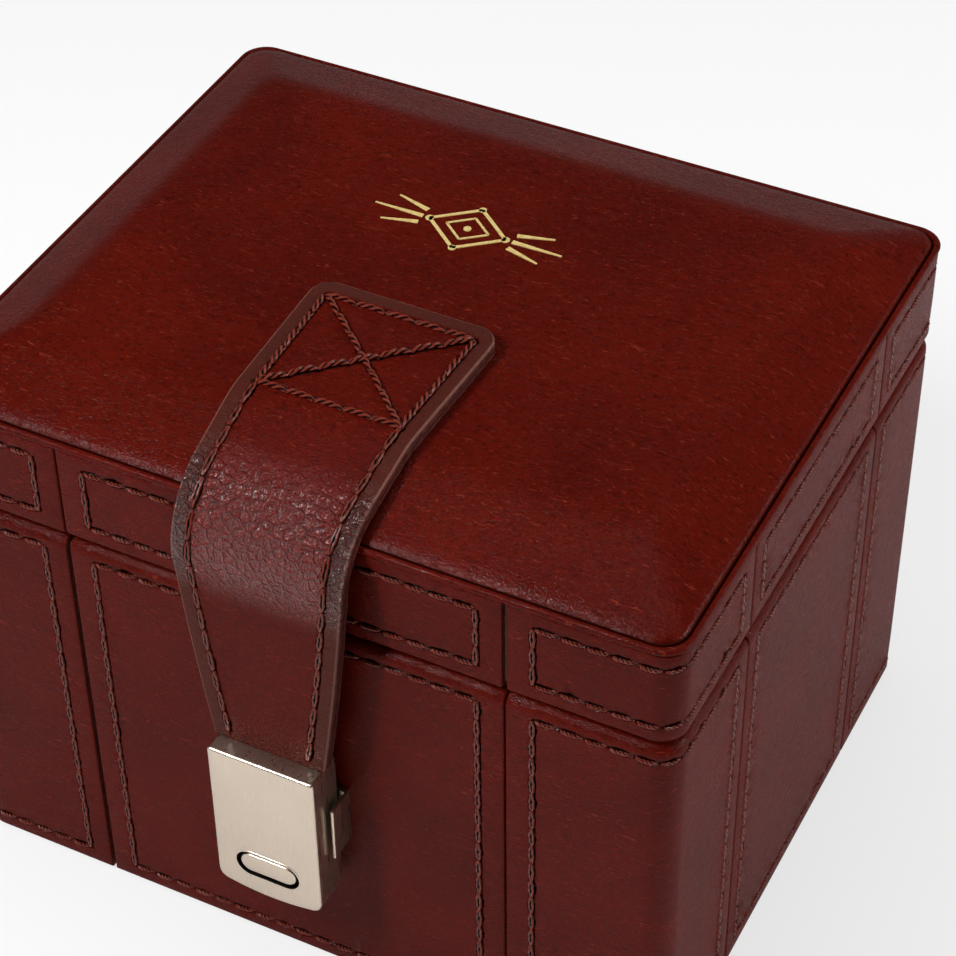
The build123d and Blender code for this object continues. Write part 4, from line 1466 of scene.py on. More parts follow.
@dataclass
class Covering:
    """The leather of one wall: eight panels between upright seams, sewn inside their edges."""

    wall: Wall
    low_row: float
    high_row: float
    deep_seam: int
    seam_x: float = 0.058
    seam_y: float = 0.041
    row_from_front_seam: float = 0.007
    row_from_side_seam: float = 0.006
    tight: float = 0.00030
    open: float = 0.00095
    arc_step: float = 9.0
    outline_step: float = 18.0

    def seams(self) -> list[float]:
        """Distance round the wall to each of the eight seams, from the front left one.

        Returns:
            The distances in order.
        """
        plan, whole = self.wall.plan, self.wall.plan.round()
        x, y = self.seam_x, self.seam_y
        first = [plan.front(-x), plan.front(x), plan.right(-y), plan.right(y), plan.back(x), plan.back(-x)]
        return [*first, whole + plan.left(y), whole + plan.left(-y)]

    def gaps(self) -> list[float]:
        """Width of the gap at each seam."""
        return [self.open if i == self.deep_seam else self.tight for i in range(len(self.seams()))]

    def insets(self) -> list[float]:
        """Distance of the upright rows from each seam."""
        front, side = self.row_from_front_seam, self.row_from_side_seam
        return [front, front, side, side, front, front, side, side]

    def panel(self, number: int, name: str) -> Sheet:
        """One panel between two seams.

        Args:
            number: Which panel, from the front one round to the right.
            name: The piece's name.

        Returns:
            The sheet, not yet meshed.
        """
        seams, gaps, insets = self.seams(), self.gaps(), self.insets()
        after = (number + 1) % len(seams)
        start = seams[number]
        stop = seams[after] + (self.wall.plan.round() if after == 0 else 0.0)
        length = float(self.wall.outline.lengths()[-1])
        sides = start + insets[number], stop - insets[after]
        rows = loop_rows(*sides, self.low_row, self.high_row, 4 * number)
        rounds = self.wall.plan.track().bends(self.arc_step)
        corners = [b + k * self.wall.plan.round() for b in rounds for k in (0, 1)]
        bends = (corners, self.wall.outline.bends(self.outline_step))
        low, high = (start + gaps[number] / 2, 0.0), (stop - gaps[after] / 2, length)
        return Sheet(name, self.wall.at, low, high, rows, bends)


@dataclass
class PlainNodes:
    """The CAD nodes that stay as they are, with their finishes and softened edges."""

    finishes: Finishes
    board_edge: float = 0.0004
    suede_edge: float = 0.0004
    metal_edge: float = 0.00045
    weld: float = 1e-5
    level: float = math.radians(0.5)
    sharp: float = math.radians(40)
    segments: int = 3

    def soften(self, node: bpy.types.Object, width: float) -> None:
        """Round the sharp edges of a node, without touching its mesh.

        Args:
            node: The node.
            width: Width of its rounded edges.
        """
        weld = node.modifiers.new("weld", "WELD")
        weld.merge_threshold = self.weld
        flat = node.modifiers.new("flat_faces", "DECIMATE")
        flat.decimate_type = "DISSOLVE"
        flat.angle_limit = self.level
        bevel = node.modifiers.new("soft_edge", "BEVEL")
        bevel.width = width
        bevel.segments = self.segments
        bevel.limit_method = "ANGLE"
        bevel.angle_limit = self.sharp
        bevel.harden_normals = True

    def build(self) -> None:
        """Give every node its finish, and soften the edges of boards, suede and metal."""
        slots = {part["node"]: part["material_slot"] for part in frame["record"]["subparts"]}
        widths = {"board": self.board_edge, "suede": self.suede_edge, "nickel": self.metal_edge}
        for name, node in frame["nodes"].items():
            slot = slots[name]
            node.data.materials.clear()
            node.data.materials.append(self.finishes.of_slot(slot))
            if slot in widths:
                self.soften(node, widths[slot])
        log.info("plain nodes: %d", len(slots))


@dataclass
class Body:
    """The leather-covered body."""

    finishes: Finishes
    corner: float = 0.007
    shoulder: float = 0.003
    low_row_z: float = 0.0055
    high_row_z: float = 0.1155
    mouth_inset: float = 0.0045
    mouth_seed: int = 62

    def __post_init__(self) -> None:
        """Read the wall's size from the frame."""
        low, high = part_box("body_corner_panels")
        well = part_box("tray_walls")[1]
        self.foot = low.z
        out, top = -self.shoulder, low.z + (high.z - self.shoulder - low.z)
        knots = [(out, low.z, 0), (out, top, 0), (out, top, 90), (well.x - high.x, top, 90)]
        outline = Track(tuple((o, z, self.shoulder, angle) for o, z, angle in knots))
        self.wall = Wall(Plan(high.x, high.y, self.corner), outline)
        self.cover = Covering(self.wall, self.low_row_z - self.foot, self.high_row_z - self.foot, 0)

    def sheets(self) -> dict[str, Sheet]:
        """The eight panels, with the drawer's mouth cut out at the left.

        Returns:
            The sheets by name, in order round the wall.
        """
        names = ["body_front_leather", "body_corner_front_right", "body_right_leather",
                 "body_corner_back_right", "body_back_leather", "body_corner_back_left",
                 "body_left_leather", "body_corner_front_left"]
        sheets = {name: self.cover.panel(i, name) for i, name in enumerate(names)}
        mouth_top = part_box("body_panel_left")[0].z - self.foot
        mouth_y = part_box("front_board")[1].y
        left = sheets["body_left_leather"]
        left.low = (left.low[0], mouth_top)
        shelf = mouth_top + self.mouth_inset
        low_row, high_row, first, last = left.rows
        uprights = [self.moved(row, t0=shelf) for row in (first, last)]
        left.rows = [self.moved(low_row, t=shelf), high_row, *uprights]
        whole = self.wall.plan.round()
        self.cut_corner(sheets["body_corner_front_left"], whole + self.wall.plan.left(mouth_y), mouth_top, -1)
        self.cut_corner(sheets["body_corner_back_left"], whole + self.wall.plan.left(-mouth_y), mouth_top, 1)
        return sheets

    @staticmethod
    def moved(row: Row, s0: float | None = None, s1: float | None = None,
              t0: float | None = None, t: float | None = None) -> Row:
        """A row with some of its ends moved.

        Args:
            row: The row as it was.
            s0: New start along the sheet.
            s1: New stop along the sheet.
            t0: New start across the sheet.
            t: New place across the sheet, of both ends.

        Returns:
            The changed row.
        """
        first, last = row.start, row.stop
        start = (first[0] if s0 is None else s0, first[1] if t0 is None else t0)
        stop = (last[0] if s1 is None else s1, last[1])
        if t is not None:
            start, stop = (start[0], t), (stop[0], t)
        return Row(start, stop, row.pitch, row.seed)

    def cut_corner(self, sheet: Sheet, side: float, top: float, way: int) -> None:
        """Cut the drawer's mouth out of a corner panel, and lead its stitches round the cut.

        Args:
            sheet: The corner panel.
            side: Distance round the wall to the upright side of the mouth.
            top: Height of the mouth on the sheet.
            way: 1 where the mouth lies at greater distances, else -1.
        """
        far = sheet.high[0] if way > 0 else sheet.low[0]
        low_s, high_s = sorted((side, far + way * sheet.edge))
        sheet.mouth = (low_s, high_s, -sheet.edge, top)
        low_row, high_row, first, last = sheet.rows
        turn_s, turn_t = side - way * self.mouth_inset, top + self.mouth_inset
        upright = Row((turn_s, low_row.start[1]), (turn_s, turn_t), seed=self.mouth_seed)
        if way > 0:
            rows = [self.moved(low_row, s1=turn_s), first, self.moved(last, t0=turn_t)]
            rows.append(self.moved(low_row, s0=turn_s, t=turn_t))
        else:
            rows = [self.moved(low_row, s0=turn_s), self.moved(first, t0=turn_t), last]
            rows.append(self.moved(low_row, s1=turn_s, t=turn_t))
        sheet.rows = [high_row, upright, *rows]

    def build(self) -> None:
        """Mesh the panels and sew them."""
        nodes = {"front": "body_panel_front", "back": "body_panel_back", "left": "body_panel_left",
                 "right": "body_panel_right"}
        stitching = Stitching("body_stitching")
        for name, sheet in self.sheets().items():
            piece = sheet.build(self.finishes.leather, self.finishes.edge)
            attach(piece, "box")
            side = name.split("_")[1]
            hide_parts(nodes.get(side, "body_corner_panels"))
            for row in sheet.rows:
                stitching.add(thread_for(row), self.wall.at, row)
            log.info("%s: %d faces", name, len(piece.data.polygons))
        thread = stitching.build(self.finishes.thread)
        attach(thread, "box")
        log.info("%s: %d rows", thread.name, stitching.rows)


def plan_ring(plan: Plan, z: float, parts: tuple[int, int]) -> np.ndarray:
    """Points round a plan, equally many for every plan.

    Args:
        plan: The rounded rectangle.
        z: Height of the ring.
        parts: Number of steps on a straight side and in a corner.

    Returns:
        One row for each point.
    """
    lengths = plan.track().lengths()
    spans = zip(lengths, lengths[1:])
    counts = [parts[i % 2] for i in range(len(lengths) - 1)]
    s = np.concatenate([np.linspace(a, b, n, endpoint=False) for (a, b), n in zip(spans, counts)])
    x, y = plan.at(s, np.zeros_like(s))
    return np.stack([x, y, np.full_like(x, z)], -1)


def loft(rings: list[np.ndarray], endless: bool = False) -> Skin:
    """A closed skin through rings with equally many points.

    Args:
        rings: The rings, from the middle of one end face to the middle of the other.
        endless: Whether the last ring joins the first, instead of both being filled.

    Returns:
        Vertices and polygons.
    """
    size, last = len(rings[0]), len(rings) - 1
    polygons = [] if endless else [tuple(reversed(range(size))), tuple(range(last * size, (last + 1) * size))]
    for ring in range(len(rings) if endless else last):
        after = (ring + 1) % len(rings)
        for i in range(size):
            j = (i + 1) % size
            polygons.append((ring * size + i, ring * size + j, after * size + j, after * size + i))
    return np.concatenate(rings), polygons


def turned_forward(points: np.ndarray, centre: Vector) -> np.ndarray:
    """Points made lying flat, stood up so that their top looks to the front."""
    x, y, z = points.T
    return np.stack([centre.x + x, centre.y - z, centre.z + y], -1)


def joined(parts: list[Skin]) -> Skin:
    """Several meshes as one.

    Args:
        parts: Vertices and polygons of each mesh.

    Returns:
        Vertices and polygons of the whole.
    """
    starts = np.cumsum([0] + [len(points) for points, _ in parts])
    polygons = [tuple(v + int(start) for v in face)
                for start, (_, faces) in zip(starts, parts) for face in faces]
    return np.concatenate([points for points, _ in parts]), polygons


@dataclass
class Lid:
    """The leather-covered lid wall and its bevelled top."""

    finishes: Finishes
    corner: float = 0.007
    lower_edge: float = 0.0015
    low_row_z: float = 0.127
    high_row_z: float = 0.1445
    deep_seam: int = 1
    bead: float = 0.0009
    bead_inset: float = 0.0006
    plateau_inset: Spot = (0.019, 0.024)
    bevel_foot: float = 0.0018
    softness: float = 15.0
    hem: Spot = (0.004, 0.0001)
    # Groove rings between the bead and the bevel: inset at the sides, inset at the front, height and painted
    # shade.
    groove: tuple[tuple[float, ...], ...] = (
        (-0.0003, -0.0003, 0.0013, 0.6), (0.0, 0.0, 0.0011, 0.9), (0.00015, 0.0002, 0.0018, 0.4))
    bevel_steps: tuple[float, ...] = (0.10, 0.115, 0.14, 0.25, 0.4, 0.55, 0.7, 0.8, 0.88, 0.94, 1.0, 1.06,
                                      1.13, 1.22, 1.4, 1.8)
    middle_steps: tuple[float, ...] = (0.8, 0.6, 0.4, 0.2, 0.05)
    underside: Plan = Plan(0.02, 0.015, 0.004)
    least_corner: float = 0.001
    rim_drop: float = 0.0004
    rim_share: Spot = (0.13, 0.03)
    bead_angles: tuple[int, int, int] = (-90, 121, 21)
    wave_height: float = 0.00007
    waves_across: Spot = (0.017, 0.013)
    waves_aslant: Spot = (0.031, 0.024)
    wave_start: Spot = (0.003, 0.004)
    ring_parts: tuple[int, int] = (14, 8)

    def __post_init__(self) -> None:
        """Read the wall's size from the frame."""
        low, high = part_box("lid_corner_panels")
        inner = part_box("lid_wall_suede")[1]
        r = self.lower_edge
        knots = [(inner.x - high.x, low.z + r, r, -90), (-r, low.z + r, r, -90), (-r, low.z + r, r, 0),
                 (-r, high.z, r, 0)]
        self.wall = Wall(Plan(high.x, high.y, self.corner), Track(tuple(knots)))
        upright = self.wall.outline.lengths()[2] - low.z - r
        self.cover = Covering(self.wall, self.low_row_z + upright, self.high_row_z + upright, self.deep_seam)
        self.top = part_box("lid_top_leather")

    def panels(self) -> None:
        """Mesh and sew the eight panels of the wall."""
        names = {"lid_front_leather": "lid_panels_long", "lid_corner_front_right": "lid_corner_panels",
                 "lid_right_leather": "lid_panels_end", "lid_corner_back_right": "lid_corner_panels",
                 "lid_back_leather": "lid_panels_long", "lid_corner_back_left": "lid_corner_panels",
                 "lid_left_leather": "lid_panels_end", "lid_corner_front_left": "lid_corner_panels"}
        stitching = Stitching("lid_stitching")
        for number, (name, node) in enumerate(names.items()):
            sheet = self.cover.panel(number, name)
            piece = sheet.build(self.finishes.leather, self.finishes.edge)
            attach(piece, "lid")
            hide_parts(node)
            for row in sheet.rows:
                stitching.add(thread_for(row), self.wall.at, row)
            log.info("%s: %d faces", name, len(piece.data.polygons))
        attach(stitching.build(self.finishes.thread), "lid")

    def profile(self) -> list[tuple[float, float, float, float]]:
        """Inset at the sides, inset at the front, height and painted shade of each ring of the top.

        Returns:
            The rings, from the hidden hem to the flat middle.
        """
        low, high = self.top[0].z, self.top[1].z
        # The hidden hem gets full painted shade.
        rows = [(self.hem[0], self.hem[0], low + self.hem[1], 1.0)]
        for angle in np.radians(np.arange(*self.bead_angles)):
            inset = self.bead_inset - self.bead * math.cos(angle)
            rows.append((inset, inset, low + self.bead + self.bead * math.sin(angle), 0.0))
        edge = self.bead_inset + self.bead
        rows += [(edge + x, edge + y, low + z, dark) for x, y, z, dark in self.groove]
        foot, rise = low + self.bevel_foot, high - low - self.bevel_foot
        for share in self.bevel_steps:
            level = -math.log(math.exp(-self.softness * share) + math.exp(-self.softness)) / self.softness
            drop = self.rim_drop * max(0.0, (self.rim_share[0] - share) / self.rim_share[1])
            inset_x, inset_y = (inset * share for inset in self.plateau_inset)
            rows.append((inset_x, inset_y, foot + rise * level - drop, 0.0))
        return rows

    def waves(self, points: np.ndarray) -> np.ndarray:
        """The points with the bevel and the middle a little uneven, as glued leather is.

        Args:
            points: Vertices of the top.

        Returns:
            The moved vertices.
        """
        x, y, z = points.T
        (a, b), (c, d) = self.waves_across, self.waves_aslant
        waves = np.sin(x / a + 1.3) * np.sin(y / b) + 0.6 * np.sin(x / c - y / d)
        above = np.clip((z - self.top[0].z - self.wave_start[0]) / self.wave_start[1], 0, 1)
        return np.stack([x, y, z - self.wave_height * (1.6 + waves) * above], -1)

    def crown(self) -> None:
        """Mesh the top: a bead round the edge, a groove, the bevel and the flat middle."""
        plan, rows = self.wall.plan, self.profile()
        rings = [plan_ring(self.underside, rows[0][2], self.ring_parts)]
        for inset_x, inset_y, z, _ in rows:
            corner = max(self.corner - 0.25 * min(inset_x, self.hem[0]), self.least_corner)
            outline = Plan(plan.half_x - inset_x, plan.half_y - inset_y, corner)
            rings.append(plan_ring(outline, z, self.ring_parts))
        rings += [rings[-1] * np.array((share, share, 1.0)) for share in self.middle_steps]
        points, polygons = loft(rings)
        points = self.waves(points)
        piece = new_piece("lid_top", points, polygons, [self.finishes.leather])
        mark(piece, "lay", points * np.array((1.0, 1.0, 0.0)) + np.array((0.5, 0.5, 0.0)))
        far = np.ones(len(points))
        # Painted shade of each ring: the hidden hem and the groove are darkened.
        holes = [0.0, *(dark for _, _, _, dark in rows), *(0.0 for _ in self.middle_steps)]
        hole = np.repeat(holes, len(rings[0]))
        mark(piece, "wear", np.stack([far, 0 * far, hole], -1))
        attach(piece, "lid")
        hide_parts("lid_top_leather")
        log.info("lid_top: %d faces", len(piece.data.polygons))

    def build(self) -> None:
        """Make every piece."""
        self.panels()
        self.crown()


@dataclass
class Ornament:
    """A generic gold figure pressed into the lid: a lozenge between tapered bars, with dots."""

    finishes: Finishes
    centre: Spot = (-0.0035, 0.0215)
    half_width: float = 0.0262
    half_height: float = 0.0085
    lift: float = 0.00006
    thickness: float = 0.0004
    lozenges: tuple[Spot, ...] = ((1.0, 0.0009), (0.55, 0.0006))
    lozenge_half: float = 0.40
    bar_start: Spot = (0.47, 0.32)
    bar_stop: Spot = (0.98, 0.62)
    bar_shorter: float = 0.16
    bar_widths: Spot = (0.0014, 0.0005)
    side_dot: float = 0.0011
    middle_dot: float = 0.0010

    def flat(self, outline: list[Spot]) -> Skin:
        """A thin plate with the given outline about the figure's centre.

        Args:
            outline: Points of the outline.

        Returns:
            Vertices and polygons.
        """
        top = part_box("lid_top_leather")[1].z + self.lift
        spots = np.array(outline) + np.array(self.centre)
        upper = np.column_stack([spots, np.full(len(spots), top)])
        lower = upper - np.array((0.0, 0.0, self.thickness))
        return loft([lower, upper])

    def outlines(self) -> list[list[Spot]]:
        """The outlines of all its parts.

        Returns:
            Points of each outline.
        """
        w, h = self.half_width, self.half_height
        shapes: list[list[Spot]] = []
        for scale, thick in self.lozenges:
            a, b = self.lozenge_half * w * scale, h * scale
            for x, y in ((a, b), (-a, b), (-a, -b), (a, -b)):
                shapes.append(self.bar((x, 0.0), (0.0, y), thick, thick))
        for side in (-1, 1):
            for k in (-1, 0, 1):
                start = (side * self.bar_start[0] * w, k * self.bar_start[1] * h)
                reach = self.bar_stop[0] - self.bar_shorter * abs(k)
                shapes.append(self.bar(start, (side * reach * w, k * self.bar_stop[1] * h), *self.bar_widths))
            shapes.append(self.dot((side * self.lozenge_half * w, 0.0), self.side_dot))
        shapes += [self.dot((0.0, k * h), self.middle_dot) for k in (-1, 0, 1)]
        return shapes

    @staticmethod
    def bar(start: Spot, stop: Spot, wide: float, narrow: float) -> list[Spot]:
        """A bar that tapers from one width to another.

        Args:
            start: Middle of one end.
            stop: Middle of the other end.
            wide: Width at the start.
            narrow: Width at the stop.

        Returns:
            Its four corners.
        """
        a, b = Vector(start), Vector(stop)
        side = (b - a).normalized().orthogonal()
        corners = [a - side * wide / 2, b - side * narrow / 2, b + side * narrow / 2, a + side * wide / 2]
        order = corners if (b - a).cross(side) > 0 else corners[::-1]
        return [tuple(c) for c in order]

    @staticmethod
    def dot(centre: Spot, radius: float, sides: int = 20) -> list[Spot]:
        """A round dot."""
        turns = np.linspace(0, 2 * math.pi, sides, endpoint=False)
        return [(centre[0] + radius * math.cos(a), centre[1] + radius * math.sin(a)) for a in turns]

    def build(self) -> None:
        """Make the figure as one piece."""
        points, polygons = joined([self.flat(outline) for outline in self.outlines()])
        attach(new_piece("lid_ornament", points, polygons, [self.finishes.foil]), "lid")
        log.info("lid_ornament: %d faces", len(polygons))


@dataclass
class Strap:
    """The closing strap: outer leather sewn with a crossed box, over a lining."""

    finishes: Finishes
    knee: Spot = (-0.059, 0.160)
    turn: Spot = (-0.0883, 0.1516)
    knee_radius: float = 0.020
    turn_radius: float = 0.0175
    lining_thickness: float = 0.0017
    leather_thickness: float = 0.0019
    start_half: float = 0.0246
    bend_half: float = 0.0218
    bend_y: float = -0.097
    split_z: float = 0.1376
    middle: Spot = (0.0189, 0.1106)
    clasp: Spot = (0.0150, 0.0828)
    tongue_half: float = 0.0116
    tongue_end: float = 0.0748
    corner: float = 0.006
    steady: float = 0.008
    row_inset: float = 0.0046
    over: float = 0.0004
    box_start: float = 0.0055
    box_end: float = 0.0405
    box_pitch: Spot = (0.0078, 0.0070)
    cross_pitch: float = 0.0075
    side_pitch: float = 0.0064
    side_stop: float = 0.002
    crease_start: Spot = (0.006, 0.010)
    crease_stop: Spot = (0.010, 0.014)
    blend_z: Spot = (0.150, 0.126)
    bend_step: float = 0.0018
    bend_more: float = 0.022
    neck_step: float = 0.0001
    corner_steps: tuple[float, ...] = (0.02, 0.06, 0.14, 0.25, 0.4, 0.6, 0.8)

    def __post_init__(self) -> None:
        """Lay out the line of the strap's inner face."""
        start = (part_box("strap_upper_leather")[1].y, self.knee[1])
        corners = [start, self.knee, self.turn, (self.turn[0], self.tongue_end)]
        self.line = Track.through(corners, [self.knee_radius, self.turn_radius])
        self.whole = self.leather_thickness + self.lining_thickness
        self.length = float(self.line.lengths()[-1])

    def at_height(self, z: float) -> float:
        """Distance along the strap to a height on its hanging part."""
        return self.length - (z - self.tongue_end)

    def half(self, t: np.ndarray) -> np.ndarray:
        """Half width at each distance along the strap.

        Args:
            t: Distances along the strap.

        Returns:
            The half widths.
        """
        y, z = self.line.at(t, np.full_like(t, self.whole / 2))
        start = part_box("strap_upper_leather")[1].y
        slope = (self.bend_half - self.start_half) / (self.bend_y - start)
        upper = self.start_half + slope * (y - start)
        heights = (self.split_z, self.middle[1], self.clasp[1])
        curve = np.polyfit(heights, (self.bend_half, self.middle[0], self.clasp[0]), 2)
        below = z < self.clasp[1]
        half = np.where(z > self.split_z, upper, np.polyval(curve, z))
        return np.where(below & (t > self.length / 2), self.tongue_half, half)

    def at(self, s: np.ndarray, t: np.ndarray, h: np.ndarray) -> np.ndarray:
        """Points on the outer leather, with an undistorted zone along each side.

        Args:
            s: Places across the strap.
            t: Distances along it.
            h: Heights off the leather.

        Returns:
            One row for each point.
        """
        y, z = self.line.at(t, self.whole + h)
        round_off = self.corner - np.clip(t, 0, self.corner)
        half = self.half(t) - self.corner + np.sqrt(self.corner ** 2 - round_off ** 2)
        inner = self.start_half - self.steady
        shifted = np.sign(s) * (half - self.start_half + np.abs(s))
        x = np.where(np.abs(s) > inner, shifted, s * (half - self.steady) / inner)
        return np.stack([x, y, z], -1)

    def under(self, s: np.ndarray, t: np.ndarray, h: np.ndarray) -> np.ndarray:
        """Points on the lining, which lies under the leather."""
        return self.at(s, t, h - self.leather_thickness)

    def rows(self) -> list[Row]:
        """The crossed box on the lid and the side rows down to the clasp.

        Returns:
            The rows, with the diagonal that lies on top last.
        """
        side, low, high = self.start_half - self.row_inset, self.box_start, self.box_end
        end = self.at_height(self.clasp[1] + self.side_stop)
        across, along = self.box_pitch
        rows = [Row((-side, t), (side, t), across, 1 + i, True) for i, t in enumerate((low, high))]
        for i, x in enumerate((-side, side)):
            rows.append(Row((x, low), (x, high), along, 3 + i, True))
            rows.append(Row((x, high), (x, end), self.side_pitch, 5 + i))
            rows.append(Row((x, low), (-x, high), self.cross_pitch, 7 + i, True))
        return rows

    def bend(self, t: np.ndarray) -> np.ndarray:
        """How much the leather is creased at each distance along the strap.

        Args:
            t: Distances along the strap.

        Returns:
            0 where it is smooth, 1 where it is most creased.
        """
        start, stop = self.line.lengths()[3:5]
        rise = np.clip((t - start + self.crease_start[0]) / self.crease_start[1], 0, 1)
        fall = np.clip((stop + self.crease_stop[0] - t) / self.crease_stop[1], 0, 1)
        return (rise * fall) ** 1.5

    def sheet(self, name: str, surface: Surface, thickness: float, rows: list[Row]) -> Sheet:
        """One layer of the strap, not yet meshed.

        Args:
            name: The layer's name.
            surface: What it lies on.
            thickness: Its thickness.
            rows: Its stitches.

        Returns:
            The sheet.
        """
        h, inset = self.start_half, self.row_inset
        areas = [(inset - h, h - inset, self.box_start, self.box_end)] if rows else []
        neck = self.at_height(self.clasp[1])
        bent = self.at_height(self.split_z) + self.bend_more
        lines = [*np.arange(self.line.lengths()[1], bent, self.bend_step),
                 *(self.corner * share for share in self.corner_steps),
                 neck - self.neck_step, neck + self.neck_step]
        sides = [self.steady - h, h - self.steady]
        return Sheet(name, surface, (-h, 0.0), (h, self.length), rows, (sides, lines), thickness=thickness,
                     areas=areas, bend=self.bend)

    def build(self) -> None:
        """Make both layers and the thread, which bend between the lid and the hanging part."""
        rows = self.rows()
        outer = self.sheet("strap_outer", self.at, self.leather_thickness, rows)
        lining = self.sheet("strap_inner", self.under, self.lining_thickness, [])
        stitching = Stitching("strap_stitching")
        for row in rows[:-1]:
            stitching.add(thread_for(row), self.at, row)
        stitching.add(replace(RAISED_THREAD, rise=RAISED_THREAD.rise + self.over), self.at, rows[-1])
        skin = outer.build(self.finishes.strap, self.finishes.edge)
        inner = lining.build(self.finishes.lining, self.finishes.edge)
        thread = stitching.build(self.finishes.thread)
        for piece in (skin, inner, thread):
            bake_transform(piece)
        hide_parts("strap_upper_leather", "strap_lower_leather")
        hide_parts("strap_upper_lining", "strap_lower_lining")
        log.info("strap: %d faces", len(skin.data.polygons))


def soft_box(low: Iterable[float], high: Iterable[float], radius: float) -> Skin:
    """A box with rounded edges.

    Args:
        low: Its low corner.
        high: Its high corner.
        radius: Radius of the edges.

    Returns:
        Vertices and polygons.
    """
    low, high = np.array(tuple(low)), np.array(tuple(high))
    half, middle = (high - low) / 2, (high + low) / 2
    rings = []
    for angle in np.linspace(-math.pi / 2, math.pi / 2, 10):
        inset = radius * (1 - math.cos(angle))
        corner = max(radius - inset, TOUCH)
        z = math.copysign(half[2] - radius, angle) + radius * math.sin(angle)
        rings.append(plan_ring(Plan(half[0] - inset, half[1] - inset, corner), z, (1, 4)))
    points, polygons = loft(rings)
    return points + middle, polygons


@dataclass
class Clasp:
    """The clasp's hood with its push button, and the keeper on the body."""

    finishes: Finishes
    opening: Spot = (0.0088, 0.0040)
    gap: float = 0.00100
    button_edge: float = 0.00045
    recess: float = 0.00012
    flange: Span = (0.0017, 0.0024)
    flange_lip: float = 0.0006
    ramp_span: Span = (0.0088, 0.0112)
    ramp_rise: float = 0.0047
    post_half: Span = (0.0060, 0.0045)
    post_rise: Span = (0.0055, 0.0157)
    post_edge: float = 0.0003
    notch_wall: float = 0.0016
    notch_depth: float = 0.0020
    lip: float = 0.00028
    plate: float = 0.0014
    wall: float = 0.0012
    edge: float = 0.00085
    arc_drop: float = 0.0018
    foot_corner: float = 0.0028
    top_corner: float = 0.0009
    ear: float = 0.0008
    ear_back: float = 0.0014
    ear_out: float = 0.0018
    ear_foot: float = 0.0033
    ear_drop: float = 0.0018
    ear_front: float = 0.0006
    arc_points: int = 15
    corner_parts: int = 7
    even_turns: int = 72
    close_turn: float = 0.012
    parts: tuple[int, int] = (16, 16)

    def __post_init__(self) -> None:
        """Read the places from the frame."""
        self.low, self.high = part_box("clasp_housing")
        button_low, button_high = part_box("push_button")
        self.ramp_corner = button_high
        self.centre = Vector((0.0, self.low.y, (button_low.z + button_high.z) / 2))

    def slot_ring(self, out: float, height: float) -> np.ndarray:
        """A ring at a distance outside the opening's outline, at a height over the face."""
        half_x, half_z = self.opening[0] + out, self.opening[1] + out
        return plan_ring(Plan(half_x, half_z, half_z - TOUCH), height, self.parts)

    def outline(self, inset: float) -> list[Spot]:
        """Corners of the hood's outline seen from the front, about the button's middle.

        Args:
            inset: How far inside the outline.

        Returns:
            The corners in order.
        """
        half = self.high.x - inset
        foot, top = self.low.z - self.centre.z + inset, self.high.z - self.centre.z - inset
        sag = [(half * x, foot + self.arc_drop * x * x) for x in np.linspace(-1, 1, self.arc_points)]
        return [*sag, (half, top), (-half, top)]

    def rounded(self, inset: float) -> np.ndarray:
        """The hood's outline with its corners rounded, as points.

        Args:
            inset: How far inside the outline.

        Returns:
            The points in order.
        """
        corners = [Vector(corner) for corner in self.outline(inset)]
        n = len(corners)
        points = []
        for i, here in enumerate(corners):
            before, after = corners[i - 1], corners[(i + 1) % n]
            sharp = i in (0, n - 3, n - 2, n - 1)
            radius = (self.top_corner if i >= n - 2 else self.foot_corner) if sharp else 0.0
            reach = max(radius - inset, 0.0)
            a, b = here + (before - here).normalized() * reach, here + (after - here).normalized() * reach
            for share in np.linspace(0, 1, self.corner_parts) if reach else (0.5,):
                points.append(a.lerp(here, share).lerp(here.lerp(b, share), share))
        return np.array([tuple(p) for p in points])

    def hood_ring(self, fan: np.ndarray, inset: float, height: float) -> np.ndarray:
        """The hood's outline, with one point in each of the fan's directions.

        Args:
            fan: The directions.
            inset: How far inside the outline.
            height: Height over the face.

        Returns:
            The ring.
        """
        spots = self.rounded(inset)
        angles = np.arctan2(spots[:, 1], spots[:, 0])
        order = np.argsort(angles)
        angles, spots = angles[order], spots[order]
        angles = np.concatenate([angles[-1:] - 2 * math.pi, angles, angles[:1] + 2 * math.pi])
        spots = np.concatenate([spots[-1:], spots, spots[:1]])
        turns = np.arctan2(fan[:, 1], fan[:, 0])
        k = np.minimum(np.searchsorted(angles, turns, side="right") - 1, len(angles) - 2)
        way, a, run = np.stack([np.cos(turns), np.sin(turns)], -1), spots[k], spots[k + 1] - spots[k]
        cross = way[:, 0] * run[:, 1] - way[:, 1] * run[:, 0]
        reach = (a[:, 0] * run[:, 1] - a[:, 1] * run[:, 0]) / cross
        return np.column_stack([way * reach[:, None], np.full(len(fan), height)])

    def hood(self) -> None:
        """Make the hood, open at the back, with a rolled lip round the button's opening, whose inner walls
        carry a painted shadow finish.
        """
        depth = self.low.y - self.high.y
        fan = self.fan()
        rings = [self.opening_ring(fan, 0.0, -self.plate)]
        for angle in np.linspace(0, math.pi, 7):
            out = self.lip * (1 - math.cos(angle))
            rings.append(self.opening_ring(fan, out, 0.5 * self.lip * math.sin(angle)))
        rings.append(self.hood_ring(fan, self.edge, 0.0))
        for angle in np.linspace(0, math.pi / 2, 6)[1:]:
            inset = self.edge * (1 - math.sin(angle))
            rings.append(self.hood_ring(fan, inset, -self.edge * (1 - math.cos(angle))))
        rings.append(self.hood_ring(fan, 0.0, depth))
        rings.append(self.hood_ring(fan, self.wall, depth))
        rings.append(self.hood_ring(fan, self.wall, -self.plate))
        points, polygons = loft(rings, endless=True)
        points = turned_forward(points, self.centre)
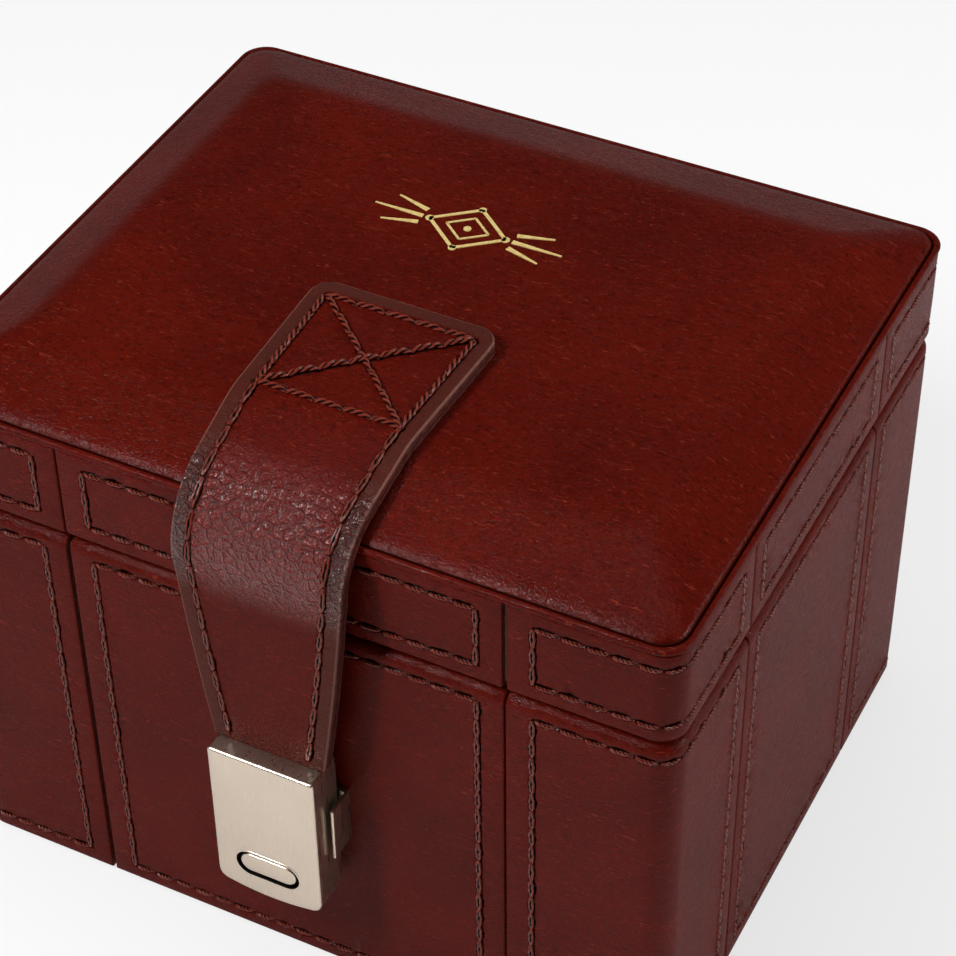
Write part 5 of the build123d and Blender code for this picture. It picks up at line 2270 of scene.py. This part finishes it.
        # Painted shadow on the opening's inner wall and the back of the plate.
        dark = [int(i < 2 * len(fan) or i >= (len(rings) - 1) * len(fan)) for i in range(len(polygons))]
        piece = new_piece("clasp_hood", points, polygons, [self.finishes.nickel, self.finishes.shadow], dark)
        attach(piece, "strap")
        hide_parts("clasp_housing")

    def fan(self) -> np.ndarray:
        """Directions from the button's middle, closest where the hood has its corners.

        Returns:
            One direction in each row.
        """
        half = self.high.x
        foot, top = self.low.z - self.centre.z, self.high.z - self.centre.z
        corners = [math.atan2(z, x) for x, z in ((-half, foot), (half, foot), (half, top), (-half, top))]
        even = np.linspace(-math.pi, math.pi, self.even_turns, endpoint=False).tolist()
        close = [corner + k * self.close_turn for corner in corners for k in range(-6, 7)]
        turns = np.array(apart(even + close))
        return np.stack([np.cos(turns), np.sin(turns)], -1)

    def opening_ring(self, fan: np.ndarray, out: float, height: float) -> np.ndarray:
        """The opening's outline along the fan's directions.

        Args:
            fan: The directions.
            out: How far outside the opening.
            height: Height over the face.

        Returns:
            The ring.
        """
        radius = self.opening[1] + out
        straight = self.opening[0] - self.opening[1]
        c, z = np.abs(fan[:, 0]), np.abs(fan[:, 1])
        flat = radius / np.maximum(z, TOUCH)
        round_end = straight * c + np.sqrt(np.maximum(radius ** 2 - (straight * z) ** 2, 0))
        reach = np.where(flat * c < straight, flat, round_end)
        return np.column_stack([fan * reach[:, None], np.full(len(fan), height)])

    def button(self) -> None:
        """Make the push button, with the flange that keeps it in; the flange and the sides in the gap carry a
        painted shadow finish.
        """
        rings = [self.slot_ring(self.flange_lip, -depth) for depth in reversed(self.flange)]
        rings.append(self.slot_ring(-self.gap, -self.flange[0]))
        for angle in np.linspace(0, math.pi / 2, 6):
            out = -self.gap - self.button_edge * (1 - math.cos(angle))
            rings.append(self.slot_ring(out, -self.recess - self.button_edge * (1 - math.sin(angle))))
        points, polygons = loft(rings)
        points = turned_forward(points, self.centre)
        points, polygons = joined([(points, polygons), self.ramp(-1), self.ramp(1)])
        # Painted shadow on the flange and the button's sides in the gap.
        dark = [0, 0] + [int(i < 3 * len(rings[0])) for i in range(len(polygons) - 2)]
        materials = [self.finishes.nickel, self.finishes.shadow]
        piece = new_piece("clasp_button", points, polygons, materials, dark)
        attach(piece, "button")
        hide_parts("push_button")

    def ramp(self, side: int) -> Skin:
        """One ramp behind the flange, whose slope lifts the latch as the button goes in.

        Args:
            side: -1 for the left one, 1 for the right one.

        Returns:
            Vertices and polygons.
        """
        front, back, top = self.low.y + self.flange[0], self.ramp_corner.y, self.ramp_corner.z
        foot = top - self.ramp_rise
        outline = [(front, foot), (back, foot), (back, top - (back - front)), (front, top)]
        points = [(x, y, z) for x in sorted(side * span for span in self.ramp_span) for y, z in outline]
        sides = [(i, (i + 1) % 4, (i + 1) % 4 + 4, i + 4) for i in range(4)]
        return np.array(points), [(3, 2, 1, 0), (4, 5, 6, 7), *sides]

    def keeper(self) -> None:
        """Make the keeper: a plate with an ear at each side and a post in the middle."""
        low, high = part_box("keeper")
        half, plate = self.high.x + self.ear_out, high.y - self.ear_back
        foot, top = low.z + self.ear_foot, high.z - self.ear_drop
        parts = [soft_box((-half, plate, foot), (half, high.y, top), self.post_edge)]
        back = high.y - self.ear_back / 2
        for side in (-1, 1):
            x = sorted((side * half, side * (half - self.ear)))
            parts.append(soft_box((x[0], low.y + self.ear_front, foot), (x[1], back, top), self.post_edge))
        parts += self.post(low.y, back, low.z + self.post_rise[0], low.z + self.post_rise[1])
        points, polygons = joined(parts)
        piece = new_piece("clasp_keeper", points, polygons, [self.finishes.nickel])
        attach(piece, "box")
        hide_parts("keeper")

    def post(self, front: float, back: float, low: float, high: float) -> list[Skin]:
        """The keeper's post: four walls round the notch that the latch drops into.

        Args:
            front: Y of its front face.
            back: Y where it meets the plate.
            low: Z of its foot.
            high: Z of its top.

        Returns:
            Vertices and polygons of each wall and of the notch's floor.
        """
        half, inner = self.post_half
        tuck = self.notch_wall / 4
        boxes = [((-half, front, low), (half, front + self.notch_wall, high)),
                 ((-half, back - self.notch_wall, low), (half, back, high)),
                 ((tuck / 4 - half, front + tuck, low), (-inner, back - tuck, high)),
                 ((inner, front + tuck, low), (half - tuck / 4, back - tuck, high)),
                 ((-inner - tuck, front + tuck, low), (inner + tuck, back - tuck, high - self.notch_depth))]
        return [soft_box(*corners, self.post_edge) for corners in boxes]

    def build(self) -> None:
        """Make every piece."""
        self.hood()
        self.button()
        self.keeper()
        log.info("clasp hood, button and keeper")


@dataclass
class Screws:
    """Domed screws with a straight slot, in the hinge leaves."""

    finishes: Finishes
    slot_half: float = 0.00028
    slot_depth: float = 0.0006
    sides: int = 32
    shank: float = 0.45
    near: float = 0.0048
    crown: float = 0.35
    neck: float = 0.0001
    slot_reach: float = 1.2
    dome: tuple[Spot, ...] = ((0.0, 0.0), (0.3, 0.05), (0.6, 0.25), (0.85, 0.6), (1.0, 1.0), (1.0, 1.3))

    def places(self, node: str) -> list[tuple[np.ndarray, np.ndarray]]:
        """Corners of the boxes round each screw of a node, told apart by their X and Z.

        Args:
            node: Name of the node.

        Returns:
            Low and high corner of each box.
        """
        points = np.array([v.co for v in frame["nodes"][node].data.vertices])
        boxes = []
        left = np.ones(len(points), bool)
        while left.any():
            first = points[left][0]
            near = left & (np.hypot(points[:, 0] - first[0], points[:, 2] - first[2]) < self.near)
            boxes.append((points[near].min(0), points[near].max(0)))
            left &= ~near
        return boxes

    def head(self, low: np.ndarray, high: np.ndarray, turn: float) -> bmesh.types.BMesh:
        """One screw with its head towards the back.

        Args:
            low: Low corner of the room it fills.
            high: High corner of that room.
            turn: How far the slot is turned.

        Returns:
            The head and shank as a mesh.
        """
        radius = (high[0] - low[0]) / 2
        rise = self.crown * radius
        outline = [(out * radius, high[1] - down * rise) for out, down in self.dome]
        shank = self.shank * radius
        outline += [(shank, outline[-1][1] - self.neck), (shank, low[1]), (0.0, low[1])]
        mesh = bmesh.new()
        line = [mesh.verts.new((r, y, 0.0)) for r, y in outline]
        edges = [mesh.edges.new(pair) for pair in zip(line, line[1:])]
        bmesh.ops.spin(mesh, geom=line + edges, axis=(0, 1, 0), cent=(0, 0, 0), angle=2 * math.pi,
                       steps=self.sides)
        bmesh.ops.remove_doubles(mesh, verts=mesh.verts, dist=TOUCH)
        for way in (-1, 1):
            geometry, place = mesh.verts[:] + mesh.edges[:] + mesh.faces[:], (0, 0, way * self.slot_half)
            bmesh.ops.bisect_plane(mesh, geom=geometry, plane_co=place, plane_no=(0, 0, 1))
        for vertex in mesh.verts:
            between = abs(vertex.co.z) < 0.99 * self.slot_half
            if between and vertex.co.y > high[1] - self.slot_reach * rise:
                vertex.co.y -= self.slot_depth
        middle = Vector(((low[0] + high[0]) / 2, 0.0, (low[2] + high[2]) / 2))
        bmesh.ops.recalc_face_normals(mesh, faces=mesh.faces)
        mesh.transform(Matrix.Translation(middle) @ Matrix.Rotation(turn, 4, "Y"))
        mesh.verts.index_update()
        return mesh

    def build(self) -> None:
        """Make the screws of both leaves."""
        chance = np.random.default_rng(SEED)
        for node, body in (("hinge_screws_body", "box"), ("hinge_screws_lid", "lid")):
            points, polygons = [], []
            for low, high in self.places(node):
                mesh = self.head(low, high, chance.uniform(0, math.pi))
                start = len(points)
                points += [tuple(v.co) for v in mesh.verts]
                polygons += [tuple(start + v.index for v in face.verts) for face in mesh.faces]
                mesh.free()
            piece = new_piece(f"slotted_{node}", points, polygons, [self.finishes.steel])
            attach(piece, body)
            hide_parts(node)
            log.info("%s: %d faces", piece.name, len(polygons))


@dataclass
class Cushions:
    """Six stuffed suede cushions, swollen once by cloth pressure and set in every cell."""

    finishes: Finishes
    voxel: float = 0.0042
    pressure: float = 4.0
    last_frame: int = 20
    cap: float = 0.0022
    seam_depth: float = 0.0011
    seam_width: float = 0.0014
    seam_inset: float = 0.011
    mass: float = 0.15
    pucker: float = 0.00035
    puckers: int = 22
    pucker_width: float = 0.004
    fill: float = 0.6

    @staticmethod
    def islands(mesh: bmesh.types.BMesh) -> list[list[bmesh.types.BMVert]]:
        """The groups of linked vertices in a mesh, in the order of their first vertices.

        Args:
            mesh: The mesh.

        Returns:
            The vertices of each group.
        """
        left, groups = set(mesh.verts), []
        for first in mesh.verts:
            edge = [first] if first in left else []
            left.difference_update(edge)
            group = []
            while edge:
                vertex = edge.pop()
                group.append(vertex)
                near = [link.other_vert(vertex) for link in vertex.link_edges]
                edge += [other for other in near if other in left]
                left.difference_update(near)
            groups += [group] if group else []
        return groups

    def source(self) -> tuple[np.ndarray, list[Face], list[np.ndarray]]:
        """The first cushion of the model, and the centres of all six.

        Returns:
            Vertices about the first one's middle, its polygons, and the centres.
        """
        mesh = bmesh.new()
        mesh.from_mesh(frame["nodes"]["watch_cushions"].data)
        bmesh.ops.remove_doubles(mesh, verts=mesh.verts, dist=TOUCH)
        groups = self.islands(mesh)
        places = [np.array([v.co for v in group]) for group in groups]
        centres = [(p.min(0) + p.max(0)) / 2 for p in places]
        order = {v: i for i, v in enumerate(groups[0])}
        faces = [tuple(order[v] for v in f.verts) for f in mesh.faces if f.verts[0] in order]
        points = places[0] - centres[0]
        mesh.free()
        return points, faces, centres

    def swell(self, piece: bpy.types.Object) -> np.ndarray:
        """Swell the cushion like a filled bag.

        Args:
            piece: The remeshed cushion.

        Returns:
            Its vertices after the swelling, held close to where they were.
        """
        rest = np.array([v.co for v in piece.data.vertices])
        cloth = piece.modifiers.new("cloth", "CLOTH")
        cloth.settings.use_pressure = True
        cloth.settings.uniform_pressure_force = self.pressure
        cloth.settings.effector_weights.gravity = 0.0
        cloth.settings.mass = self.mass
        cloth.point_cache.frame_start, cloth.point_cache.frame_end = 1, self.last_frame
        scene = bpy.context.scene
        for number in range(1, self.last_frame + 1):
            scene.frame_set(number)
        evaluated = piece.evaluated_get(bpy.context.evaluated_depsgraph_get())
        swollen = np.array([v.co for v in evaluated.data.vertices])
        piece.modifiers.remove(cloth)
        scene.frame_set(1)
        shift = swollen - rest
        length = np.linalg.norm(shift, axis=1, keepdims=True)
        return rest + shift * np.minimum(1.0, self.cap / np.maximum(length, 1e-9))

    def stitched(self, points: np.ndarray, normals: np.ndarray) -> np.ndarray:
        """Draw the skin in along a seam near each end, and pucker it a little.

        Args:
            points: Vertices of the cushion.
            normals: Their normals.

        Returns:
            The moved vertices.
        """
        reach = np.abs(points[:, 1]).max() - self.seam_inset
        off = np.abs(points[:, 1]) - reach
        around = np.arctan2(points[:, 2], points[:, 0])
        pucker = self.pucker * np.sin(self.puckers * around) * np.exp(-(off / self.pucker_width) ** 2)
        return points - normals * (self.seam_depth * np.exp(-(off / self.seam_width) ** 2) + pucker)[:, None]

    @staticmethod
    def apply(piece: bpy.types.Object) -> None:
        """Turn what the modifiers of a piece make into its own mesh.

        Args:
            piece: The piece.
        """
        evaluated = piece.evaluated_get(bpy.context.evaluated_depsgraph_get())
        piece.data = bpy.data.meshes.new_from_object(evaluated)
        piece.modifiers.clear()

    def build(self) -> None:
        """Make one cushion and its copies."""
        points, faces, centres = self.source()
        base = new_piece("watch_cushion", points, faces, [self.finishes.cushion])
        remesh = base.modifiers.new("remesh", "REMESH")
        remesh.mode = "VOXEL"
        remesh.voxel_size = self.voxel
        self.apply(base)
        base.data.vertices.foreach_set("co", self.swell(base).ravel())
        smooth = base.modifiers.new("smooth", "SUBSURF")
        smooth.levels = smooth.render_levels = 1
        self.apply(base)
        shape, normals = (np.array([getattr(v, key) for v in base.data.vertices]) for key in ("co", "normal"))
        base.data.vertices.foreach_set("co", self.stitched(shape, normals).ravel())
        base.data.polygons.foreach_set("use_smooth", [True] * len(base.data.polygons))
        base.data.update()
        self.spread(base, centres)
        log.info("cushions: %d, %d faces each", len(centres), len(base.data.polygons))
        bpy.data.objects.remove(base)

    def spread(self, base: bpy.types.Object, centres: list[np.ndarray]) -> None:
        """Set a copy of the cushion in every cell.

        Args:
            base: The finished cushion about its own middle.
            centres: The middle of each cell.
        """
        for number, centre in enumerate(centres, 1):
            piece = base.copy()
            piece.data = base.data.copy()
            piece.name = f"watch_cushion_{number}"
            bpy.context.scene.collection.objects.link(piece)
            piece.data.transform(Matrix.Translation(Vector(centre)))
            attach(piece, "box")
            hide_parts("watch_cushions")


@dataclass
class LidPad:
    """The padded lining under the lid, crowned and edged with a pressed border."""

    finishes: Finishes
    border: float = 0.010
    groove: float = 0.0012
    rise: float = 0.0022
    corner: float = 0.004
    least_corner: float = 0.0008
    fill: float = 0.5
    middle: Plan = Plan(0.02, 0.02, 0.004)
    side: tuple[Spot, ...] = ((0.0, 0.001), (0.0006, 0.0003), (0.0016, 0.0))
    beside: float = 0.0015
    shoulder: float = 0.75
    valley: float = 0.8
    foot: float = 0.7
    crown_steps: tuple[float, ...] = (0.12, 0.25, 0.4, 0.6, 0.8, 0.93)
    ring_parts: tuple[int, int] = (10, 5)

    def profile(self, low: Vector, high: Vector) -> list[Spot]:
        """Inset and height of each ring, from the glued face down the side to the crown.

        Args:
            low: Low corner of the pad's room.
            high: High corner of that room.

        Returns:
            Inset and height of each ring.
        """
        rows = [(0.0, high.z), *((inset, low.z + self.rise + up) for inset, up in self.side)]
        edge, rise = self.border, self.rise
        shoulder, valley = low.z + self.shoulder * rise, low.z + self.valley * rise
        rows += [(edge / 2, shoulder), (edge - self.beside, valley), (edge, valley + self.groove),
                 (edge + self.beside, shoulder)]
        for share in self.crown_steps:
            crown = 1 - (1 - share) ** 2
            rows.append((edge + share * (high.y - edge), low.z + self.foot * rise * (1 - crown)))
        return rows

    def build(self) -> None:
        """Make the pad."""
        low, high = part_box("lid_pad")
        rings = [plan_ring(self.middle, high.z, self.ring_parts)]
        for inset, z in self.profile(low, high):
            corner = max(self.corner - 0.3 * inset, self.least_corner)
            rings.append(plan_ring(Plan(high.x - inset, high.y - inset, corner), z, self.ring_parts))
        points, polygons = loft(rings)
        flipped = [tuple(reversed(face)) for face in polygons]
        piece = new_piece("lid_padding", points, flipped, [self.finishes.suede])
        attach(piece, "lid")
        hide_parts("lid_pad")
        log.info("lid padding: %d faces", len(polygons))


@dataclass
class DrawerLeather:
    """The drawer's sewn front and its pull tab."""

    finishes: Finishes
    inset: float = 0.0045
    pitch: float = 0.0060
    tab_inset: float = 0.0022
    tab_pitch: float = 0.0040
    seed: int = 80

    def sew(self, name: str, node: str, inset: float, pitch: float, slot: str) -> None:
        """Make one flat sewn piece in the place of a node.

        Args:
            name: The piece's name.
            node: The node that it replaces.
            inset: Distance of its stitches from the edge.
            pitch: Length of its stitches.
            slot: Name of its material in the record; not used.
        """
        low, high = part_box(node)
        panel = Panel(low.x)
        s0, s1 = -high.y, -low.y
        rows = [replace(row, pitch=pitch)
                for row in loop_rows(s0 + inset, s1 - inset, low.z + inset, high.z - inset, self.seed)]
        sheet = Sheet(name, panel.at, (s0, low.z), (s1, high.z), rows, thickness=high.x - low.x)
        piece = sheet.build(self.finishes.leather, self.finishes.edge)
        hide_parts(node)
        stitching = Stitching(f"{name}_stitching")
        for row in rows:
            stitching.add(thread_for(row), panel.at, row)
        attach(piece, "drawer")
        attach(stitching.build(self.finishes.thread), "drawer")
        log.info("%s: %d faces", name, len(piece.data.polygons))

    def build(self) -> None:
        """Make both pieces."""
        self.sew("drawer_face", "drawer_front_leather", self.inset, self.pitch, "leather")
        self.sew("drawer_tab", "drawer_pull_tab", self.tab_inset, self.tab_pitch, "strap_leather")


@dataclass(frozen=True)
class Softbox:
    """A rectangular lamp: the way from the box to it, its distance, its size and its watts."""

    name: str
    way: tuple[float, float, float]
    distance: float
    size: Spot
    power: float

    def light(self, centre: Vector) -> None:
        """Hang the lamp so that it looks at a place.

        Args:
            centre: The place.
        """
        lamp = bpy.data.lights.new(self.name, "AREA")
        lamp.shape = "RECTANGLE"
        lamp.size, lamp.size_y = self.size
        lamp.energy = self.power
        light = bpy.data.objects.new(self.name, lamp)
        bpy.context.scene.collection.objects.link(light)
        light.location = centre + Vector(self.way).normalized() * self.distance
        light.rotation_euler = Vector(self.way).to_track_quat("Z", "Y").to_euler()


@dataclass
class Studio:
    """Floor, soft light and the camera."""

    middle_z: float = 0.075
    backdrop_share: float = 0.62
    floor_half: float = 6.0
    floor_colour: Colour = (0.93, 0.93, 0.93)
    room: float = 0.18
    horizon: tuple[Spot, ...] = ((0.0, 0.80), (0.50, 0.80), (0.56, 0.30), (0.68, 0.05), (1.0, 0.03))
    image: float = 956.0
    focal: float = 2814.2
    turned: tuple[float, float, float] = (27.178, 41.909, -0.747)
    away: tuple[float, float, float] = (0.00757, 0.07158, 0.7846)
    sensor: float = 36.0
    clip_end: float = 50.0
    softboxes: tuple[Softbox, ...] = (
        Softbox("key", (-0.35, -0.56, 0.72), 1.1, (0.14, 0.36), 10.0),
        Softbox("right", (0.93, 0.30, 0.36), 1.2, (0.40, 0.40), 8.0),
        Softbox("top", (0.05, 0.1, 1.0), 1.3, (0.7, 0.7), 4.0),
    )

    def floor(self) -> None:
        """A pale floor that fades into a white backdrop."""
        graph = Graph("pale_floor")
        graph.shade(Base_Color=(*self.floor_colour, 1.0), Roughness=0.9, Specular_IOR_Level=0.0)
        white = graph.add("ShaderNodeEmission", {"Color": (1.0, 1.0, 1.0, 1.0), "Strength": 1.0})
        seen = graph.add("ShaderNodeLightPath").outputs["Is Camera Ray"]
        share = graph.math("MULTIPLY", seen, self.backdrop_share)
        both = graph.add("ShaderNodeMixShader", {0: share, 1: graph.shader.outputs[0], 2: white.outputs[0]})
        graph.feed(graph.nodes["Material Output"].inputs["Surface"], both.outputs[0])
        half = self.floor_half
        corners = [(-half, -half, 0.0), (half, -half, 0.0), (half, half, 0.0), (-half, half, 0.0)]
        new_piece("floor", np.array(corners), [(0, 1, 2, 3)], [graph.material])

    def ramp(self, tree: Tree, height: Socket) -> Socket:
        """Brightness of the room by height, from the floor over the horizon to the ceiling.

        Args:
            tree: The nodes of the world.
            height: 0 straight down, 0.5 at the horizon and 1 straight up.

        Returns:
            The brightness as a grey.
        """
        node = tree.add("ShaderNodeValToRGB", {"Fac": height})
        stops = node.color_ramp.elements
        stops[0].position, stops[1].position = self.horizon[0][0], self.horizon[-1][0]
        for place, _ in self.horizon[1:-1]:
            stops.new(place)
        for stop, (_, value) in zip(stops, self.horizon):
            stop.color = (value, value, value, 1.0)
        return node.outputs["Color"]

    def world(self) -> None:
        """White behind the object, and a dim room with a bright horizon for the reflections."""
        world = bpy.data.worlds.new("studio")
        bpy.context.scene.world = world
        world.use_nodes = True
        tree = Tree(world.node_tree)
        rays = tree.add("ShaderNodeLightPath").outputs
        up = tree.part(tree.add("ShaderNodeTexCoord").outputs["Generated"], 2)
        half_up = tree.math("MULTIPLY", tree.math("ADD", up, 1.0), 0.5)
        soft = tree.mix(rays["Is Glossy Ray"], (self.room,) * 3, self.ramp(tree, half_up))
        seen = tree.mix(rays["Is Camera Ray"], soft, (1.0, 1.0, 1.0))
        tree.feed(tree.nodes["Background"].inputs["Color"], seen)

    def axes(self) -> Matrix:
        """Right, up and backwards of the camera, as columns.

        Returns:
            A matrix with the three as its columns.
        """
        azimuth, elevation, roll = (math.radians(angle) for angle in self.turned)
        level, rise = math.cos(elevation), math.sin(elevation)
        back = Vector((math.sin(azimuth) * level, -math.cos(azimuth) * level, rise))
        right = Vector((math.cos(azimuth), math.sin(azimuth), 0.0))
        up = back.cross(right)
        tilted_right = right * math.cos(roll) + up * math.sin(roll)
        tilted_up = up * math.cos(roll) - right * math.sin(roll)
        return Matrix((tilted_right, tilted_up, back)).transposed()

    def camera(self) -> None:
        """The camera at the photograph's viewing angle."""
        data = bpy.data.cameras.new("camera")
        data.sensor_width = self.sensor
        data.lens = self.focal * self.sensor / self.image
        data.clip_end = self.clip_end
        camera = bpy.data.objects.new("camera", data)
        bpy.context.scene.collection.objects.link(camera)
        axes = self.axes()
        camera.matrix_world = Matrix.Translation(axes @ Vector(self.away)) @ axes.to_4x4()
        bpy.context.scene.camera = camera

    def build(self) -> None:
        """Set everything up."""
        self.floor()
        self.world()
        self.camera()
        for softbox in self.softboxes:
            softbox.light(Vector((0.0, 0.0, self.middle_z)))
        bpy.context.scene.view_settings.view_transform = "Standard"
        log.info("studio: %d lamps", len(self.softboxes))


def main() -> None:
    """Build and dress the box, piece by piece."""
    logging.basicConfig(level=logging.INFO, format="%(message)s")
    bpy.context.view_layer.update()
    finishes = Finishes()
    PlainNodes(finishes).build()
    Body(finishes).build()
    Lid(finishes).build()
    Ornament(finishes).build()
    Strap(finishes).build()
    DrawerLeather(finishes).build()
    Clasp(finishes).build()
    Screws(finishes).build()
    Cushions(finishes).build()
    LidPad(finishes).build()
    Studio().build()


if __name__ == "__main__":
    main()
